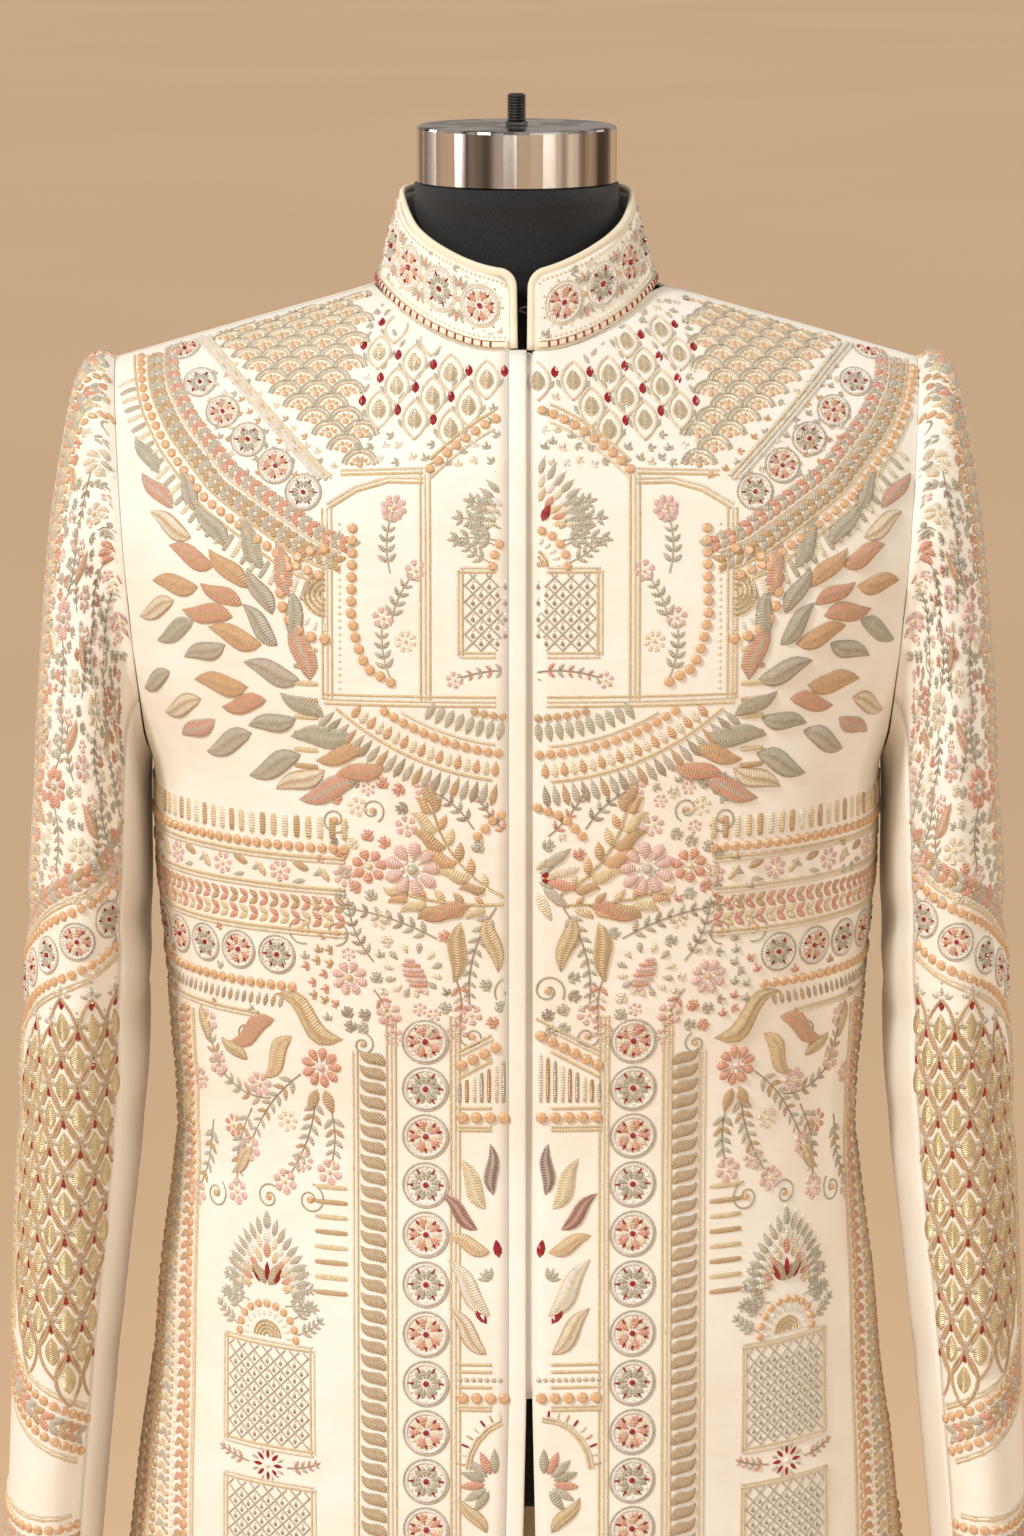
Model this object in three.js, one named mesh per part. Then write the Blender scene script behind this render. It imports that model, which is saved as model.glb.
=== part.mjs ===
// A sherwani coat worn by a limbless dress form on a round-footed stand.
// Millimetres, +Z up. The coat faces -Y and the wearer's left is +X.
// Every piece of cloth is a thin wall on one body surface, one sleeve surface or one collar surface.
import * as THREE from "three";

// ---------- driving dimensions ----------
const WALL = 2; // embroidered silk with its backing
const HALF_GAP = 0.15; // half of the space left at a sewn seam
const ARMPIT_Z = 1195;
const SHOULDER_Z = 1418;
const ARMHOLE_X = { bottom: 203.3, top: 220.6 };
const HEM_Z = 390;
const ARMPIT_UP = 0.68; // a panel's rows up to the armpit, as a share of all its rows
const CUFF_Z = 722;

const FRONT_EDGE_X = 8.7; // left front's free edge
const PLACKET_X = { seam: -4.2, edge: 5.3 }; // plain strip down the right front
const UNDERLAP = { from: -6, to: 16, gap: 1.1, thickness: 1.3 };
const SLIT = { topZ: 858, widening: 0.045 };

const NECK = { halfWidth: 76.5, front: 88, back: 72 };
const COLLAR_TOP = { halfWidth: 63.5, front: 73, back: 60 };
const COLLAR_GAP = { from: 0.4, to: 5.6 };
const PIPING = { width: 4, thickness: 3, corner: 7, gap: 0.9 };
const COLLAR_LIFT = 0.8; // the collar's seam, clear of the straight stretches of the neck edge
const BASE_TRIM = { low: 1.2, high: 5.2, thickness: 1 };

const CAP = { radius: 54.8, low: 1514, high: 1545 };
const STUD = { radius: 4.6, thread: 0.7, pitch: 1.6, height: 15.5 };
const FORM = { gap: 7, ridgeGap: 4, bottomZ: 795, armPlateGap: 9, neckTopZ: 1513.7 };
const POLE_RADIUS = 14;
const BASE = { radius: 170, height: 14, hubRadius: 32, hubHeight: 46 };

// Body sections. Above the armpit the half width is where the oval would close if there were no armhole.
const BODY = [
  { z: 390, half: 268, front: 176, back: 184, power: 2.0 },
  { z: 520, half: 252, front: 165, back: 171, power: 2.0 },
  { z: 640, half: 236, front: 155, back: 161, power: 2.05 },
  { z: 730, half: 223, front: 147, back: 153, power: 2.1 },
  { z: 800, half: 214.5, front: 141, back: 147, power: 2.15 },
  { z: 842, half: 208, front: 137, back: 143, power: 2.2 },
  { z: 900, half: 202.5, front: 130, back: 136, power: 2.2 },
  { z: 957, half: 194.5, front: 121, back: 126, power: 2.25 },
  { z: 993, half: 191.8, front: 117, back: 120, power: 2.3 },
  { z: 1031, half: 194, front: 118, back: 118, power: 2.3 },
  { z: 1076, half: 196.5, front: 122, back: 119, power: 2.35 },
  { z: 1131, half: 201, front: 127, back: 123, power: 2.4 },
  { z: 1165, half: 202.6, front: 130, back: 126, power: 2.4 },
  { z: 1195, half: 203.3, front: 132, back: 128, power: 2.4 },
  { z: 1222, half: 213, front: 133, back: 130, power: 2.4 },
  { z: 1256, half: 226, front: 134, back: 131, power: 2.4 },
  { z: 1300, half: 237, front: 131, back: 133, power: 2.4 },
  { z: 1350, half: 242, front: 124, back: 132, power: 2.4 },
  { z: 1412, half: 246, front: 112, back: 126, power: 2.4 },
  { z: 1490, half: 248, front: 100, back: 116, power: 2.4 },
];

// The shoulder seam's height, and its imagined run on to the middle of the neck.
const RIDGE = [
  { x: 0, z: 1484 },
  { x: 40, z: 1473 },
  { x: 77, z: 1459 },
  { x: 120, z: 1446.5 },
  { x: 170, z: 1432.5 },
  { x: 221, z: SHOULDER_Z },
];
const SHOULDER_ROUND = { front: 125, back: 110 };

// Sleeve rings from the armhole to the cuff: outermost and innermost point, half depth and middle.
const SLEEVE = [
  { outX: 220.9, outZ: 1417.8, inX: 203.5, inZ: 1195, deep: 62, midY: 2 },
  { outX: 227.5, outZ: 1420.5, inX: 204.1, inZ: 1193, deep: 64, midY: 2 },
  { outX: 234.5, outZ: 1418.5, inX: 204.6, inZ: 1190, deep: 66, midY: 2 },
  { outX: 241, outZ: 1409, inX: 205, inZ: 1186, deep: 69, midY: 1 },
  { outX: 247, outZ: 1386, inX: 205.2, inZ: 1181, deep: 73, midY: 1 },
  { outX: 256.5, outZ: 1331, inX: 205.4, inZ: 1172, deep: 79, midY: 0 },
  { outX: 262, outZ: 1275, inX: 205.4, inZ: 1160, deep: 84, midY: -1 },
  { outX: 267, outZ: 1210, inX: 205.4, inZ: 1144, deep: 87, midY: -2 },
  { outX: 270.8, outZ: 1150, inX: 205.4, inZ: 1121, deep: 88, midY: -3 },
  { outX: 276, outZ: 1083, inX: 206.4, inZ: 1073, deep: 86, midY: -5 },
  { outX: 280.5, outZ: 1000, inX: 210.2, inZ: 997, deep: 81, midY: -9 },
  { outX: 285.5, outZ: 898, inX: 222, inZ: 897, deep: 74, midY: -15 },
  { outX: 289.5, outZ: 806, inX: 232, inZ: 806, deep: 67, midY: -21 },
  { outX: 294, outZ: CUFF_Z, inX: 240, inZ: CUFF_Z, deep: 61, midY: -27 },
];
const SLEEVE_SEAM = THREE.MathUtils.degToRad(130); // from the outermost line to each long seam
const ARMHOLE_FADE = 5; // rings over which the sleeve leaves the armhole's own outline

// Collar top edge, by the angle from the middle front round to the back.
const COLLAR_EDGE = [
  { degrees: 0, z: 1471 },
  { degrees: 21, z: 1477 },
  { degrees: 42, z: 1485.5 },
  { degrees: 64, z: 1495.5 },
  { degrees: 90, z: 1509 },
  { degrees: 130, z: 1511.5 },
  { degrees: 180, z: 1511 },
];

// The form's neck column.
const FORM_NECK = [
  { z: 1400, radius: 60 },
  { z: 1470, radius: 58.5 },
  { z: 1500, radius: 56.5 },
  { z: FORM.neckTopZ, radius: 56 },
];

const FLUTES = { fromZ: 820, depth: 7, count: 9, phase: 0 };

// ---------- small helpers ----------
const clamp = THREE.MathUtils.clamp;
const lerp = THREE.MathUtils.lerp;

/** A smooth value from table rows, by Catmull-Rom between the rows either side of `at`. */
function smooth(rows, key, at, value) {
  const last = rows.length - 1;
  let i = 0;
  while (i < last - 1 && rows[i + 1][key] < at) i += 1;
  const a = rows[i];
  const b = rows[i + 1];
  const span = b[key] - a[key];
  const t = clamp((at - a[key]) / span, 0, 1);
  const before = rows[Math.max(i - 1, 0)];
  const after = rows[Math.min(i + 2, last)];
  const slopeA = ((b[value] - before[value]) / (b[key] - before[key])) * span;
  const slopeB = ((after[value] - a[value]) / (after[key] - a[key])) * span;
  const t2 = t * t;
  const t3 = t2 * t;
  return (
    (2 * t3 - 3 * t2 + 1) * a[value] +
    (t3 - 2 * t2 + t) * slopeA +
    (3 * t2 - 2 * t3) * b[value] +
    (t3 - t2) * slopeB
  );
}

const steps = (count) => Array.from({ length: count + 1 }, (_, i) => i / count);

/** A quarter oval's height at `t` of the way in from its edge. */
function quarterOval(t) {
  const rest = 1 - clamp(t, 0, 1);
  return Math.sqrt(Math.max(0, 1 - rest * rest));
}

const armholeX = (z) =>
  lerp(ARMHOLE_X.bottom, ARMHOLE_X.top, (z - ARMPIT_Z) / (SHOULDER_Z - ARMPIT_Z));
const ridgeZ = (x) => smooth(RIDGE, "x", Math.abs(x), "z");

// ---------- the body surface ----------
/** How far the body surface lies from the side plane at (x, z), in front or behind. */
function bodyDepth(side, x, z, inset = 0, ridgeInset = 0) {
  const half = smooth(BODY, "z", z, "half") - inset;
  const deep = smooth(BODY, "z", z, side) - inset;
  const power = smooth(BODY, "z", z, "power");
  const across = Math.pow(Math.max(0, 1 - Math.pow(Math.abs(x) / half, power)), 1 / power);
  const rise = quarterOval((ridgeZ(x) - ridgeInset - z) / SHOULDER_ROUND[side]);
  return deep * across * rise;
}

/** The skirt's soft flutes move a point out from the upright axis. */
function flute(point) {
  const drop = clamp((FLUTES.fromZ - point.z) / (FLUTES.fromZ - HEM_Z), 0, 1);
  const half = smooth(BODY, "z", point.z, "half");
  const deep = smooth(BODY, "z", point.z, point.y < 0 ? "front" : "back");
  const out = new THREE.Vector3(point.x / half, point.y / deep, 0);
  const angle = Math.atan2(out.x, -out.y);
  const wave = Math.cos(FLUTES.count * angle + FLUTES.phase) * FLUTES.depth * drop * drop;
  return point.addScaledVector(out.normalize(), wave);
}

/** Where the neck ring crosses x: the height at which the body surface is as deep as the ring. */
function neckZ(side, x) {
  const wanted = NECK[side] * Math.sqrt(Math.max(0, 1 - (x / NECK.halfWidth) ** 2));
  let low = SHOULDER_Z - 60;
  let high = ridgeZ(x);
  for (let i = 0; i < 30; i += 1) {
    const z = (low + high) / 2;
    if (bodyDepth(side, x, z) > wanted) low = z;
    else high = z;
  }
  return high;
}

const topZ = (side, x) => (Math.abs(x) < NECK.halfWidth ? neckZ(side, x) : ridgeZ(x));

const sideX = (z) => (z < ARMPIT_Z ? smooth(BODY, "z", z, "half") : armholeX(z));

/** How far the front edges have parted at height z, below the top of the slit. */
const parted = (z) => (Math.max(0, SLIT.topZ - z) * SLIT.widening) / 2;

/**
 * The body surface over a stretch of its width. `edges(z)` gives the signed x of the stretch's inner edge,
 * `across` is 0 there and 1 at the side seam or armhole, and `up` is 0 at the hem and 1 at the neck or shoulder.
 */
function bodyPoint(side, sign, innerX, across, up) {
  const upper = clamp((up - ARMPIT_UP) / (1 - ARMPIT_UP), 0, 1.02);
  const lowerZ = lerp(HEM_Z, ARMPIT_Z, up / ARMPIT_UP);
  const spread = Math.sin((across * Math.PI) / 2);
  const place = (z) => lerp(innerX(z), sideX(z), spread);
  let z = lowerZ;
  let x = place(z);
  if (up > ARMPIT_UP) {
    const turn = Math.sin((upper * Math.PI) / 2);
    for (let i = 0; i < 12; i += 1) {
      z = lerp(ARMPIT_Z, topZ(side, x), turn);
      x = place(z);
    }
  }
  const y = bodyDepth(side, x, z) * (side === "front" ? -1 : 1);
  return flute(new THREE.Vector3(sign * x, y, z));
}

/** Keeps a panel's points on its own side of its inner edge, the side and shoulder seams and the armhole. */
function keepPanel(side, sign, innerX) {
  return (point) => {
    point.x = sign * Math.max(sign * point.x, innerX(point.z));
    const toward = side === "front" ? -1 : 1;
    if (point.y * toward < HALF_GAP) point.y = toward * HALF_GAP;
    const limit = armholeX(point.z) - HALF_GAP;
    if (point.z > ARMPIT_Z && Math.abs(point.x) > limit) point.x = Math.sign(point.x) * limit;
    return point;
  };
}

// ---------- the sleeve surface ----------
/** The armhole's own outline at an angle from its top, round the front. */
function armholePoint(angle) {
  const middle = (SHOULDER_Z + ARMPIT_Z) / 2;
  const reach = (SHOULDER_Z - ARMPIT_Z) / 2 - 0.2;
  const z = middle + reach * Math.cos(angle);
  const x = armholeX(z) + HALF_GAP;
  const side = Math.sin(angle) >= 0 ? "front" : "back";
  const y = bodyDepth(side, x, z) * (side === "front" ? -1 : 1);
  return new THREE.Vector3(x, y, z);
}

/** A flattened ring between the outermost and the innermost point of a sleeve row. */
function sleeveRing(row, angle) {
  const value = (name) => smooth(SLEEVE_ROWS, "row", row, name);
  const outer = new THREE.Vector3(value("outX"), value("midY"), value("outZ"));
  const inner = new THREE.Vector3(value("inX"), value("midY"), value("inZ"));
  const point = outer.clone().add(inner).multiplyScalar(0.5);
  point.addScaledVector(outer.sub(inner), Math.cos(angle) / 2);
  point.y -= value("deep") * Math.sin(angle);
  return point;
}

const SLEEVE_ROWS = SLEEVE.map((row, index) => ({ ...row, row: index }));

function sleevePoint(sign, angle, row) {
  const fade = clamp(1 - row / ARMHOLE_FADE, 0, 1);
  const blend = fade * fade * (3 - 2 * fade);
  const point = sleeveRing(Math.max(row, 0), angle);
  const start = armholePoint(angle).sub(sleeveRing(0, angle));
  point.addScaledVector(start, blend);
  point.x *= sign;
  return point;
}

function keepSleeve(point) {
  const limit = armholeX(point.z) + HALF_GAP;
  if (point.z > ARMPIT_Z && Math.abs(point.x) < limit) point.x = Math.sign(point.x) * limit;
  return point;
}

// ---------- the collar surface ----------
/** A point on an oval ring with its own front and back depth, by the angle from the front to the wearer's left. */
function ringPoint(ring, angle) {
  const deep = Math.cos(angle) > 0 ? ring.front : ring.back;
  return new THREE.Vector3(ring.halfWidth * Math.sin(angle), -deep * Math.cos(angle), 0);
}

const COLLAR_CLOTH_X = {
  left: COLLAR_GAP.to + PIPING.width + PIPING.gap,
  right: COLLAR_GAP.from - PIPING.width - PIPING.gap,
};

/** The angles at which a collar ring's cloth starts, left of the opening, and ends, right of it. */
function collarAngles(ring) {
  const start = Math.asin(COLLAR_CLOTH_X.left / ring.halfWidth);
  const end = 2 * Math.PI + Math.asin(COLLAR_CLOTH_X.right / ring.halfWidth);
  return { start, end };
}

function collarBase(along) {
  const { start, end } = collarAngles(NECK);
  const angle = lerp(start, end, along);
  const point = ringPoint(NECK, angle);
  const side = Math.cos(angle) > 0 ? "front" : "back";
  point.z = neckZ(side, point.x) + COLLAR_LIFT;
  return point;
}

function collarTop(along) {
  const { start, end } = collarAngles(COLLAR_TOP);
  const angle = lerp(start, end, along);
  const point = ringPoint(COLLAR_TOP, angle);
  const fromFront = THREE.MathUtils.radToDeg(Math.acos(clamp(Math.cos(angle), -1, 1)));
  point.z = smooth(COLLAR_EDGE, "degrees", fromFront, "z");
  return point;
}

const COLLAR_LENGTH = Math.PI * (NECK.halfWidth + COLLAR_TOP.halfWidth) * 1.02;

/** The collar surface at a distance along it from the left front edge, and a height in millimetres. */
function collarPoint(distance, height) {
  const along = distance / COLLAR_LENGTH;
  const base = collarBase(along);
  const up = collarTop(along).sub(base);
  return base.addScaledVector(up, height / up.length());
}

const collarReach = (distance) => {
  const along = distance / COLLAR_LENGTH;
  return collarTop(along).distanceTo(collarBase(along)) - PIPING.width - PIPING.gap;
};

/** The cloth's height at a distance along the collar, less what its rounded front corner takes. */
function collarHeight(distance) {
  const fromEdge = Math.min(distance, COLLAR_LENGTH - distance);
  const into = clamp(PIPING.corner - fromEdge, 0, PIPING.corner);
  const lost = PIPING.corner - Math.sqrt(PIPING.corner ** 2 - into ** 2);
  return collarReach(distance) - lost;
}

// ---------- solids from a surface ----------
/** The unit normal of a surface by small steps, turned to the side of `outward`. */
function normalAt(surface, u, v, outward) {
  const step = 1e-3;
  const point = surface(u, v);
  const du = surface(u + step, v).sub(surface(u - step, v));
  const dv = surface(u, v + step).sub(surface(u, v - step));
  const normal = du.cross(dv).normalize();
  return normal.dot(outward(point)) < 0 ? normal.negate() : normal;
}

/** A closed wall between two offsets from a surface, over a grid of its two directions. */
function wall({ surface, us, vs, outward, outer = 0, inner = -WALL, keep = (p) => p }) {
  const points = [];
  for (const offset of [outer, inner]) {
    for (const v of vs) {
      for (const u of us) {
        const normal = normalAt(surface, u, v, outward);
        points.push(keep(surface(u, v).addScaledVector(normal, offset)));
      }
    }
  }
  const columns = us.length;
  const rows = vs.length;
  const at = (layer, j, i) => (layer * rows + j) * columns + i;
  const faces = [];
  const quad = (a, b, c, d) => faces.push(a, b, c, a, c, d);
  for (let j = 0; j < rows - 1; j += 1) {
    for (let i = 0; i < columns - 1; i += 1) {
      quad(at(0, j, i), at(0, j, i + 1), at(0, j + 1, i + 1), at(0, j + 1, i));
      quad(at(1, j, i), at(1, j + 1, i), at(1, j + 1, i + 1), at(1, j, i + 1));
    }
  }
  for (let i = 0; i < columns - 1; i += 1) {
    quad(at(0, 0, i), at(1, 0, i), at(1, 0, i + 1), at(0, 0, i + 1));
    quad(at(0, rows - 1, i + 1), at(1, rows - 1, i + 1), at(1, rows - 1, i), at(0, rows - 1, i));
  }
  for (let j = 0; j < rows - 1; j += 1) {
    quad(at(0, j + 1, 0), at(1, j + 1, 0), at(1, j, 0), at(0, j, 0));
    quad(at(0, j, columns - 1), at(1, j, columns - 1), at(1, j + 1, columns - 1), at(0, j + 1, columns - 1));
  }
  return solid(points, faces);
}

/** A geometry from points and triangles, with its faces turned out. */
function solid(points, faces) {
  let volume = 0;
  for (let i = 0; i < faces.length; i += 3) {
    const [a, b, c] = [points[faces[i]], points[faces[i + 1]], points[faces[i + 2]]];
    volume += a.dot(b.clone().cross(c));
  }
  if (volume < 0) faces.reverse();
  const geometry = new THREE.BufferGeometry();
  geometry.setAttribute("position", new THREE.Float32BufferAttribute(points.flatMap((p) => p.toArray()), 3));
  geometry.setIndex(faces);
  return geometry;
}

/** A solid through closed rings with the same number of points, closed by a fan at each end. */
function loft(rings) {
  const count = rings[0].length;
  const points = rings.flat();
  const faces = [];
  for (let j = 0; j < rings.length - 1; j += 1) {
    for (let i = 0; i < count; i += 1) {
      const next = (i + 1) % count;
      const low = j * count;
      const high = low + count;
      faces.push(low + i, low + next, high + next, low + i, high + next, high + i);
    }
  }
  const ends = [
    [0, true],
    [(rings.length - 1) * count, false],
  ];
  for (const [first, reversed] of ends) {
    const middle = new THREE.Vector3();
    for (let i = 0; i < count; i += 1) middle.addScaledVector(points[first + i], 1 / count);
    points.push(middle);
    for (let i = 0; i < count; i += 1) {
      const next = (i + 1) % count;
      if (reversed) faces.push(points.length - 1, first + next, first + i);
      else faces.push(points.length - 1, first + i, first + next);
    }
  }
  return solid(points, faces);
}

/** A turned solid about the upright axis from { r, z } rows, listed upward from the axis back to it. */
function turned(profile, segments) {
  const geometry = new THREE.LatheGeometry(
    profile.map((row) => new THREE.Vector2(row.r, row.z)),
    segments,
  );
  geometry.rotateX(Math.PI / 2);
  return geometry;
}

// ---------- materials ----------
const silk = new THREE.MeshStandardMaterial({ color: 0xefe4d2, roughness: 0.62, side: THREE.FrontSide });
const trim = new THREE.MeshStandardMaterial({ color: 0xf1e6cf, roughness: 0.55 });
const jersey = new THREE.MeshStandardMaterial({ color: 0x141416, roughness: 0.85 });
const chrome = new THREE.MeshStandardMaterial({ color: 0xd8d8dc, roughness: 0.12, metalness: 1 });
const steel = new THREE.MeshStandardMaterial({ color: 0x3a3a3c, roughness: 0.4, metalness: 1 });
const paint = new THREE.MeshStandardMaterial({ color: 0x1d1d1f, roughness: 0.5, metalness: 0.2 });

const group = new THREE.Group();

function add(name, geometry, material) {
  const mesh = new THREE.Mesh(geometry, material);
  mesh.name = name;
  group.add(mesh);
  return mesh;
}

// ---------- the coat ----------
const outFromAxis = (point) => new THREE.Vector3(point.x, point.y, 0.001 + Math.max(0, point.z - ARMPIT_Z));
const NECK_COLUMNS = 8;
const SHOULDER_COLUMNS = [0.46, 0.6, 0.74, 0.84, 0.92, 1]; // shares of the way from the middle to the side

/** The panel's columns, by where each meets the neck ring or the shoulder seam. */
function panelColumns(innerX) {
  const inner = innerX(SHOULDER_Z);
  const full = sideX(SHOULDER_Z) - inner;
  const toShare = (x) => (2 / Math.PI) * Math.asin(clamp((x - inner) / full, 0, 1));
  const first = Math.asin(inner / NECK.halfWidth);
  const angles = steps(NECK_COLUMNS).map((t) => lerp(first, Math.PI / 2, t));
  return [...angles.map((angle) => toShare(NECK.halfWidth * Math.sin(angle))), ...SHOULDER_COLUMNS];
}

const PANEL_ROWS = [
  ...steps(11).map((t) => t * ARMPIT_UP),
  ...steps(8).slice(1).map((t) => lerp(ARMPIT_UP, 1, t)),
];

function addPanel(name, side, sign, innerX) {
  add(
    name,
    wall({
      surface: (u, v) => bodyPoint(side, sign, innerX, u, v),
      us: panelColumns(innerX),
      vs: PANEL_ROWS,
      outward: outFromAxis,
      keep: keepPanel(side, sign, innerX),
    }),
    silk,
  );
}

function addBody() {
  addPanel("front_left", "front", 1, (z) => FRONT_EDGE_X + parted(z));
  addPanel("front_right", "front", -1, (z) => -PLACKET_X.seam + 2 * HALF_GAP + parted(z));
  addPanel("back_left", "back", 1, () => HALF_GAP);
  addPanel("back_right", "back", -1, () => HALF_GAP);
}

/** The front surface at a signed x and a height. */
function frontPoint(x, z) {
  return flute(new THREE.Vector3(x, -bodyDepth("front", x, z), z));
}

/** The panels' row heights on the middle of the front, from the hem to just under the neck edge. */
function centreHeights() {
  const neck = neckZ("front", 0) - 0.4;
  return PANEL_ROWS.map((up) => {
    if (up <= ARMPIT_UP) return lerp(HEM_Z, ARMPIT_Z, up / ARMPIT_UP);
    const turn = Math.sin((((up - ARMPIT_UP) / (1 - ARMPIT_UP)) * Math.PI) / 2);
    return lerp(ARMPIT_Z, neck, turn);
  });
}

function addClosing() {
  const heights = centreHeights();
  const forward = () => new THREE.Vector3(0, -1, 0);
  add(
    "placket_strip",
    wall({
      surface: (u, z) => frontPoint(lerp(PLACKET_X.seam, PLACKET_X.edge, u) - parted(z), z),
      us: steps(2),
      vs: heights,
      outward: forward,
    }),
    silk,
  );
  add(
    "underlap",
    wall({
      surface: (u, z) => frontPoint(lerp(UNDERLAP.from, UNDERLAP.to, u), z),
      us: steps(2),
      vs: [SLIT.topZ, ...heights.filter((z) => z > SLIT.topZ + 5)],
      outward: forward,
      outer: -WALL - UNDERLAP.gap,
      inner: -WALL - UNDERLAP.gap - UNDERLAP.thickness,
    }),
    silk,
  );
}

function addSleeve(sign, word) {
  const rows = [...steps(SLEEVE.length - 1).map((t) => t * (SLEEVE.length - 1))];
  const seamGap = 0.003;
  const outward = (point) => {
    const out = point.clone();
    out.x -= sign * 240;
    out.z = Math.max(0, point.z - 1290);
    return out;
  };
  const stretches = [
    { name: "top_sleeve", from: -SLEEVE_SEAM + seamGap, to: SLEEVE_SEAM - seamGap, count: 14 },
    { name: "under_sleeve", from: SLEEVE_SEAM + seamGap, to: 2 * Math.PI - SLEEVE_SEAM - seamGap, count: 6 },
  ];
  for (const { name, from, to, count } of stretches) {
    add(
      `${name}_${word}`,
      wall({
        surface: (u, v) => sleevePoint(sign, lerp(from, to, u), v),
        us: steps(count),
        vs: rows,
        outward,
        keep: keepSleeve,
      }),
      silk,
    );
  }
}

/** Distances along the collar, close together at its two rounded corners. */
function collarSteps() {
  const corner = [0, 0.7, 1.8, 3.4, 5.2, PIPING.corner];
  const middle = steps(30).map((t) => lerp(PIPING.corner, COLLAR_LENGTH - PIPING.corner, t)).slice(1, -1);
  return [...corner, ...middle, ...corner.map((d) => COLLAR_LENGTH - d).reverse()];
}

const outFromNeck = (point) => new THREE.Vector3(point.x, point.y, 0);

function addCollar() {
  add(
    "collar",
    wall({
      surface: (distance, share) => collarPoint(distance, share * collarHeight(distance)),
      us: collarSteps(),
      vs: steps(2),
      outward: outFromNeck,
    }),
    silk,
  );
  add(
    "collar_base_trim",
    wall({
      surface: (distance, share) => collarPoint(distance, lerp(BASE_TRIM.low, BASE_TRIM.high, share)),
      us: collarSteps().slice(1, -1),
      vs: steps(1),
      outward: outFromNeck,
      outer: 2 * HALF_GAP + BASE_TRIM.thickness,
      inner: 2 * HALF_GAP,
    }),
    trim,
  );
  add("collar_piping", pipingSolid(), trim);
}

/** The piping's middle line as { distance, height } on the collar surface. */
function pipingPath() {
  const off = PIPING.width / 2 + PIPING.gap;
  const path = [];
  const corner = PIPING.corner;
  const cornerHeight = collarReach(corner) - corner;
  for (const t of steps(3)) path.push({ distance: -off, height: lerp(0.6, cornerHeight, t) });
  for (const t of steps(5).slice(1)) {
    const angle = (t * Math.PI) / 2;
    path.push({
      distance: corner - (corner + off) * Math.cos(angle),
      height: cornerHeight + (corner + off) * Math.sin(angle),
    });
  }
  const half = COLLAR_LENGTH / 2;
  const tops = collarSteps().filter((distance) => distance > corner && distance < half - 1);
  for (const distance of [...tops, half]) path.push({ distance, height: collarReach(distance) + off });
  const mirrored = path.slice(0, -1).reverse();
  return [...path, ...mirrored.map((row) => ({ distance: COLLAR_LENGTH - row.distance, height: row.height }))];
}

function pipingSolid() {
  const path = pipingPath();
  const surface = (distance, height) => collarPoint(distance, height);
  const centres = path.map((row) => surface(row.distance, row.height));
  const rings = path.map((row, i) => {
    const before = centres[Math.max(i - 1, 0)];
    const after = centres[Math.min(i + 1, centres.length - 1)];
    const along = after.clone().sub(before).normalize();
    const out = normalAt(surface, row.distance, row.height, outFromNeck);
    const centre = centres[i].clone().addScaledVector(out, -WALL / 2);
    const across = out.clone().cross(along).normalize();
    return steps(6)
      .slice(0, -1)
      .map((t) => {
        const angle = 2 * Math.PI * t;
        return centre
          .clone()
          .addScaledVector(across, (Math.cos(angle) * PIPING.width) / 2)
          .addScaledVector(out, (Math.sin(angle) * PIPING.thickness) / 2);
      });
  });
  return loft(rings);
}

/** A bent wire hook on the left end and a straight bar for it on the right, seen in the collar's gap. */
function addHook() {
  const z = 1452;
  const y = -(NECK.front + COLLAR_TOP.front) / 2 + 5.5;
  const wire = new THREE.Shape();
  wire.absarc(0, 0, 0.6, 0, 2 * Math.PI);
  const route = new THREE.CatmullRomCurve3([
    new THREE.Vector3(COLLAR_GAP.to + 5, y, z + 1.5),
    new THREE.Vector3(COLLAR_GAP.to - 1, y, z + 1.5),
    new THREE.Vector3(COLLAR_GAP.from + 0.6, y, z),
    new THREE.Vector3(COLLAR_GAP.to - 1, y, z - 1.5),
    new THREE.Vector3(COLLAR_GAP.to + 5, y, z - 1.5),
  ]);
  const options = { extrudePath: route, steps: 20, curveSegments: 4, bevelEnabled: false };
  add("collar_hook", new THREE.ExtrudeGeometry(wire, options), steel);
  const bar = new THREE.CylinderGeometry(0.6, 0.6, 7, 10);
  bar.rotateX(Math.PI / 2);
  const bent = add("collar_eye", bar, steel);
  bent.position.set(COLLAR_GAP.from - 1.4, y, z);
}

// ---------- the dress form and its stand ----------
/** The form's half width at a height: its side, its arm plate, its shoulder or its neck. */
function formHalf(z) {
  if (z < ARMPIT_Z) return smooth(BODY, "z", z, "half") - FORM.gap;
  let low = 0;
  let high = armholeX(z) - FORM.armPlateGap;
  if (ridgeZ(high) - FORM.ridgeGap < z) {
    for (let i = 0; i < 30; i += 1) {
      const x = (low + high) / 2;
      if (ridgeZ(x) - FORM.ridgeGap > z) low = x;
      else high = x;
    }
  }
  return Math.max(high, neckRadius(z));
}

const neckRadius = (z) => smooth(FORM_NECK, "z", z, "radius");

function formRing(z, count) {
  const half = formHalf(z);
  const radius = neckRadius(z);
  const taper = quarterOval(0.62 + (z - FORM.bottomZ) / 90);
  return steps(count)
    .slice(0, -1)
    .map((t) => {
      const angle = 2 * Math.PI * t;
      const x = half * Math.sin(angle);
      const side = Math.cos(angle) > 0 ? "front" : "back";
      const torso = bodyDepth(side, x, z, FORM.gap, FORM.ridgeGap);
      const neck = z > ARMPIT_Z + 150 ? Math.sqrt(Math.max(0, radius * radius - x * x)) : 0;
      const deep = Math.max(torso, neck);
      const y = Math.abs(Math.cos(angle)) < 1e-6 ? 0 : -Math.sign(Math.cos(angle)) * deep;
      return new THREE.Vector3(x * taper, y * taper, z);
    });
}

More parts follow.
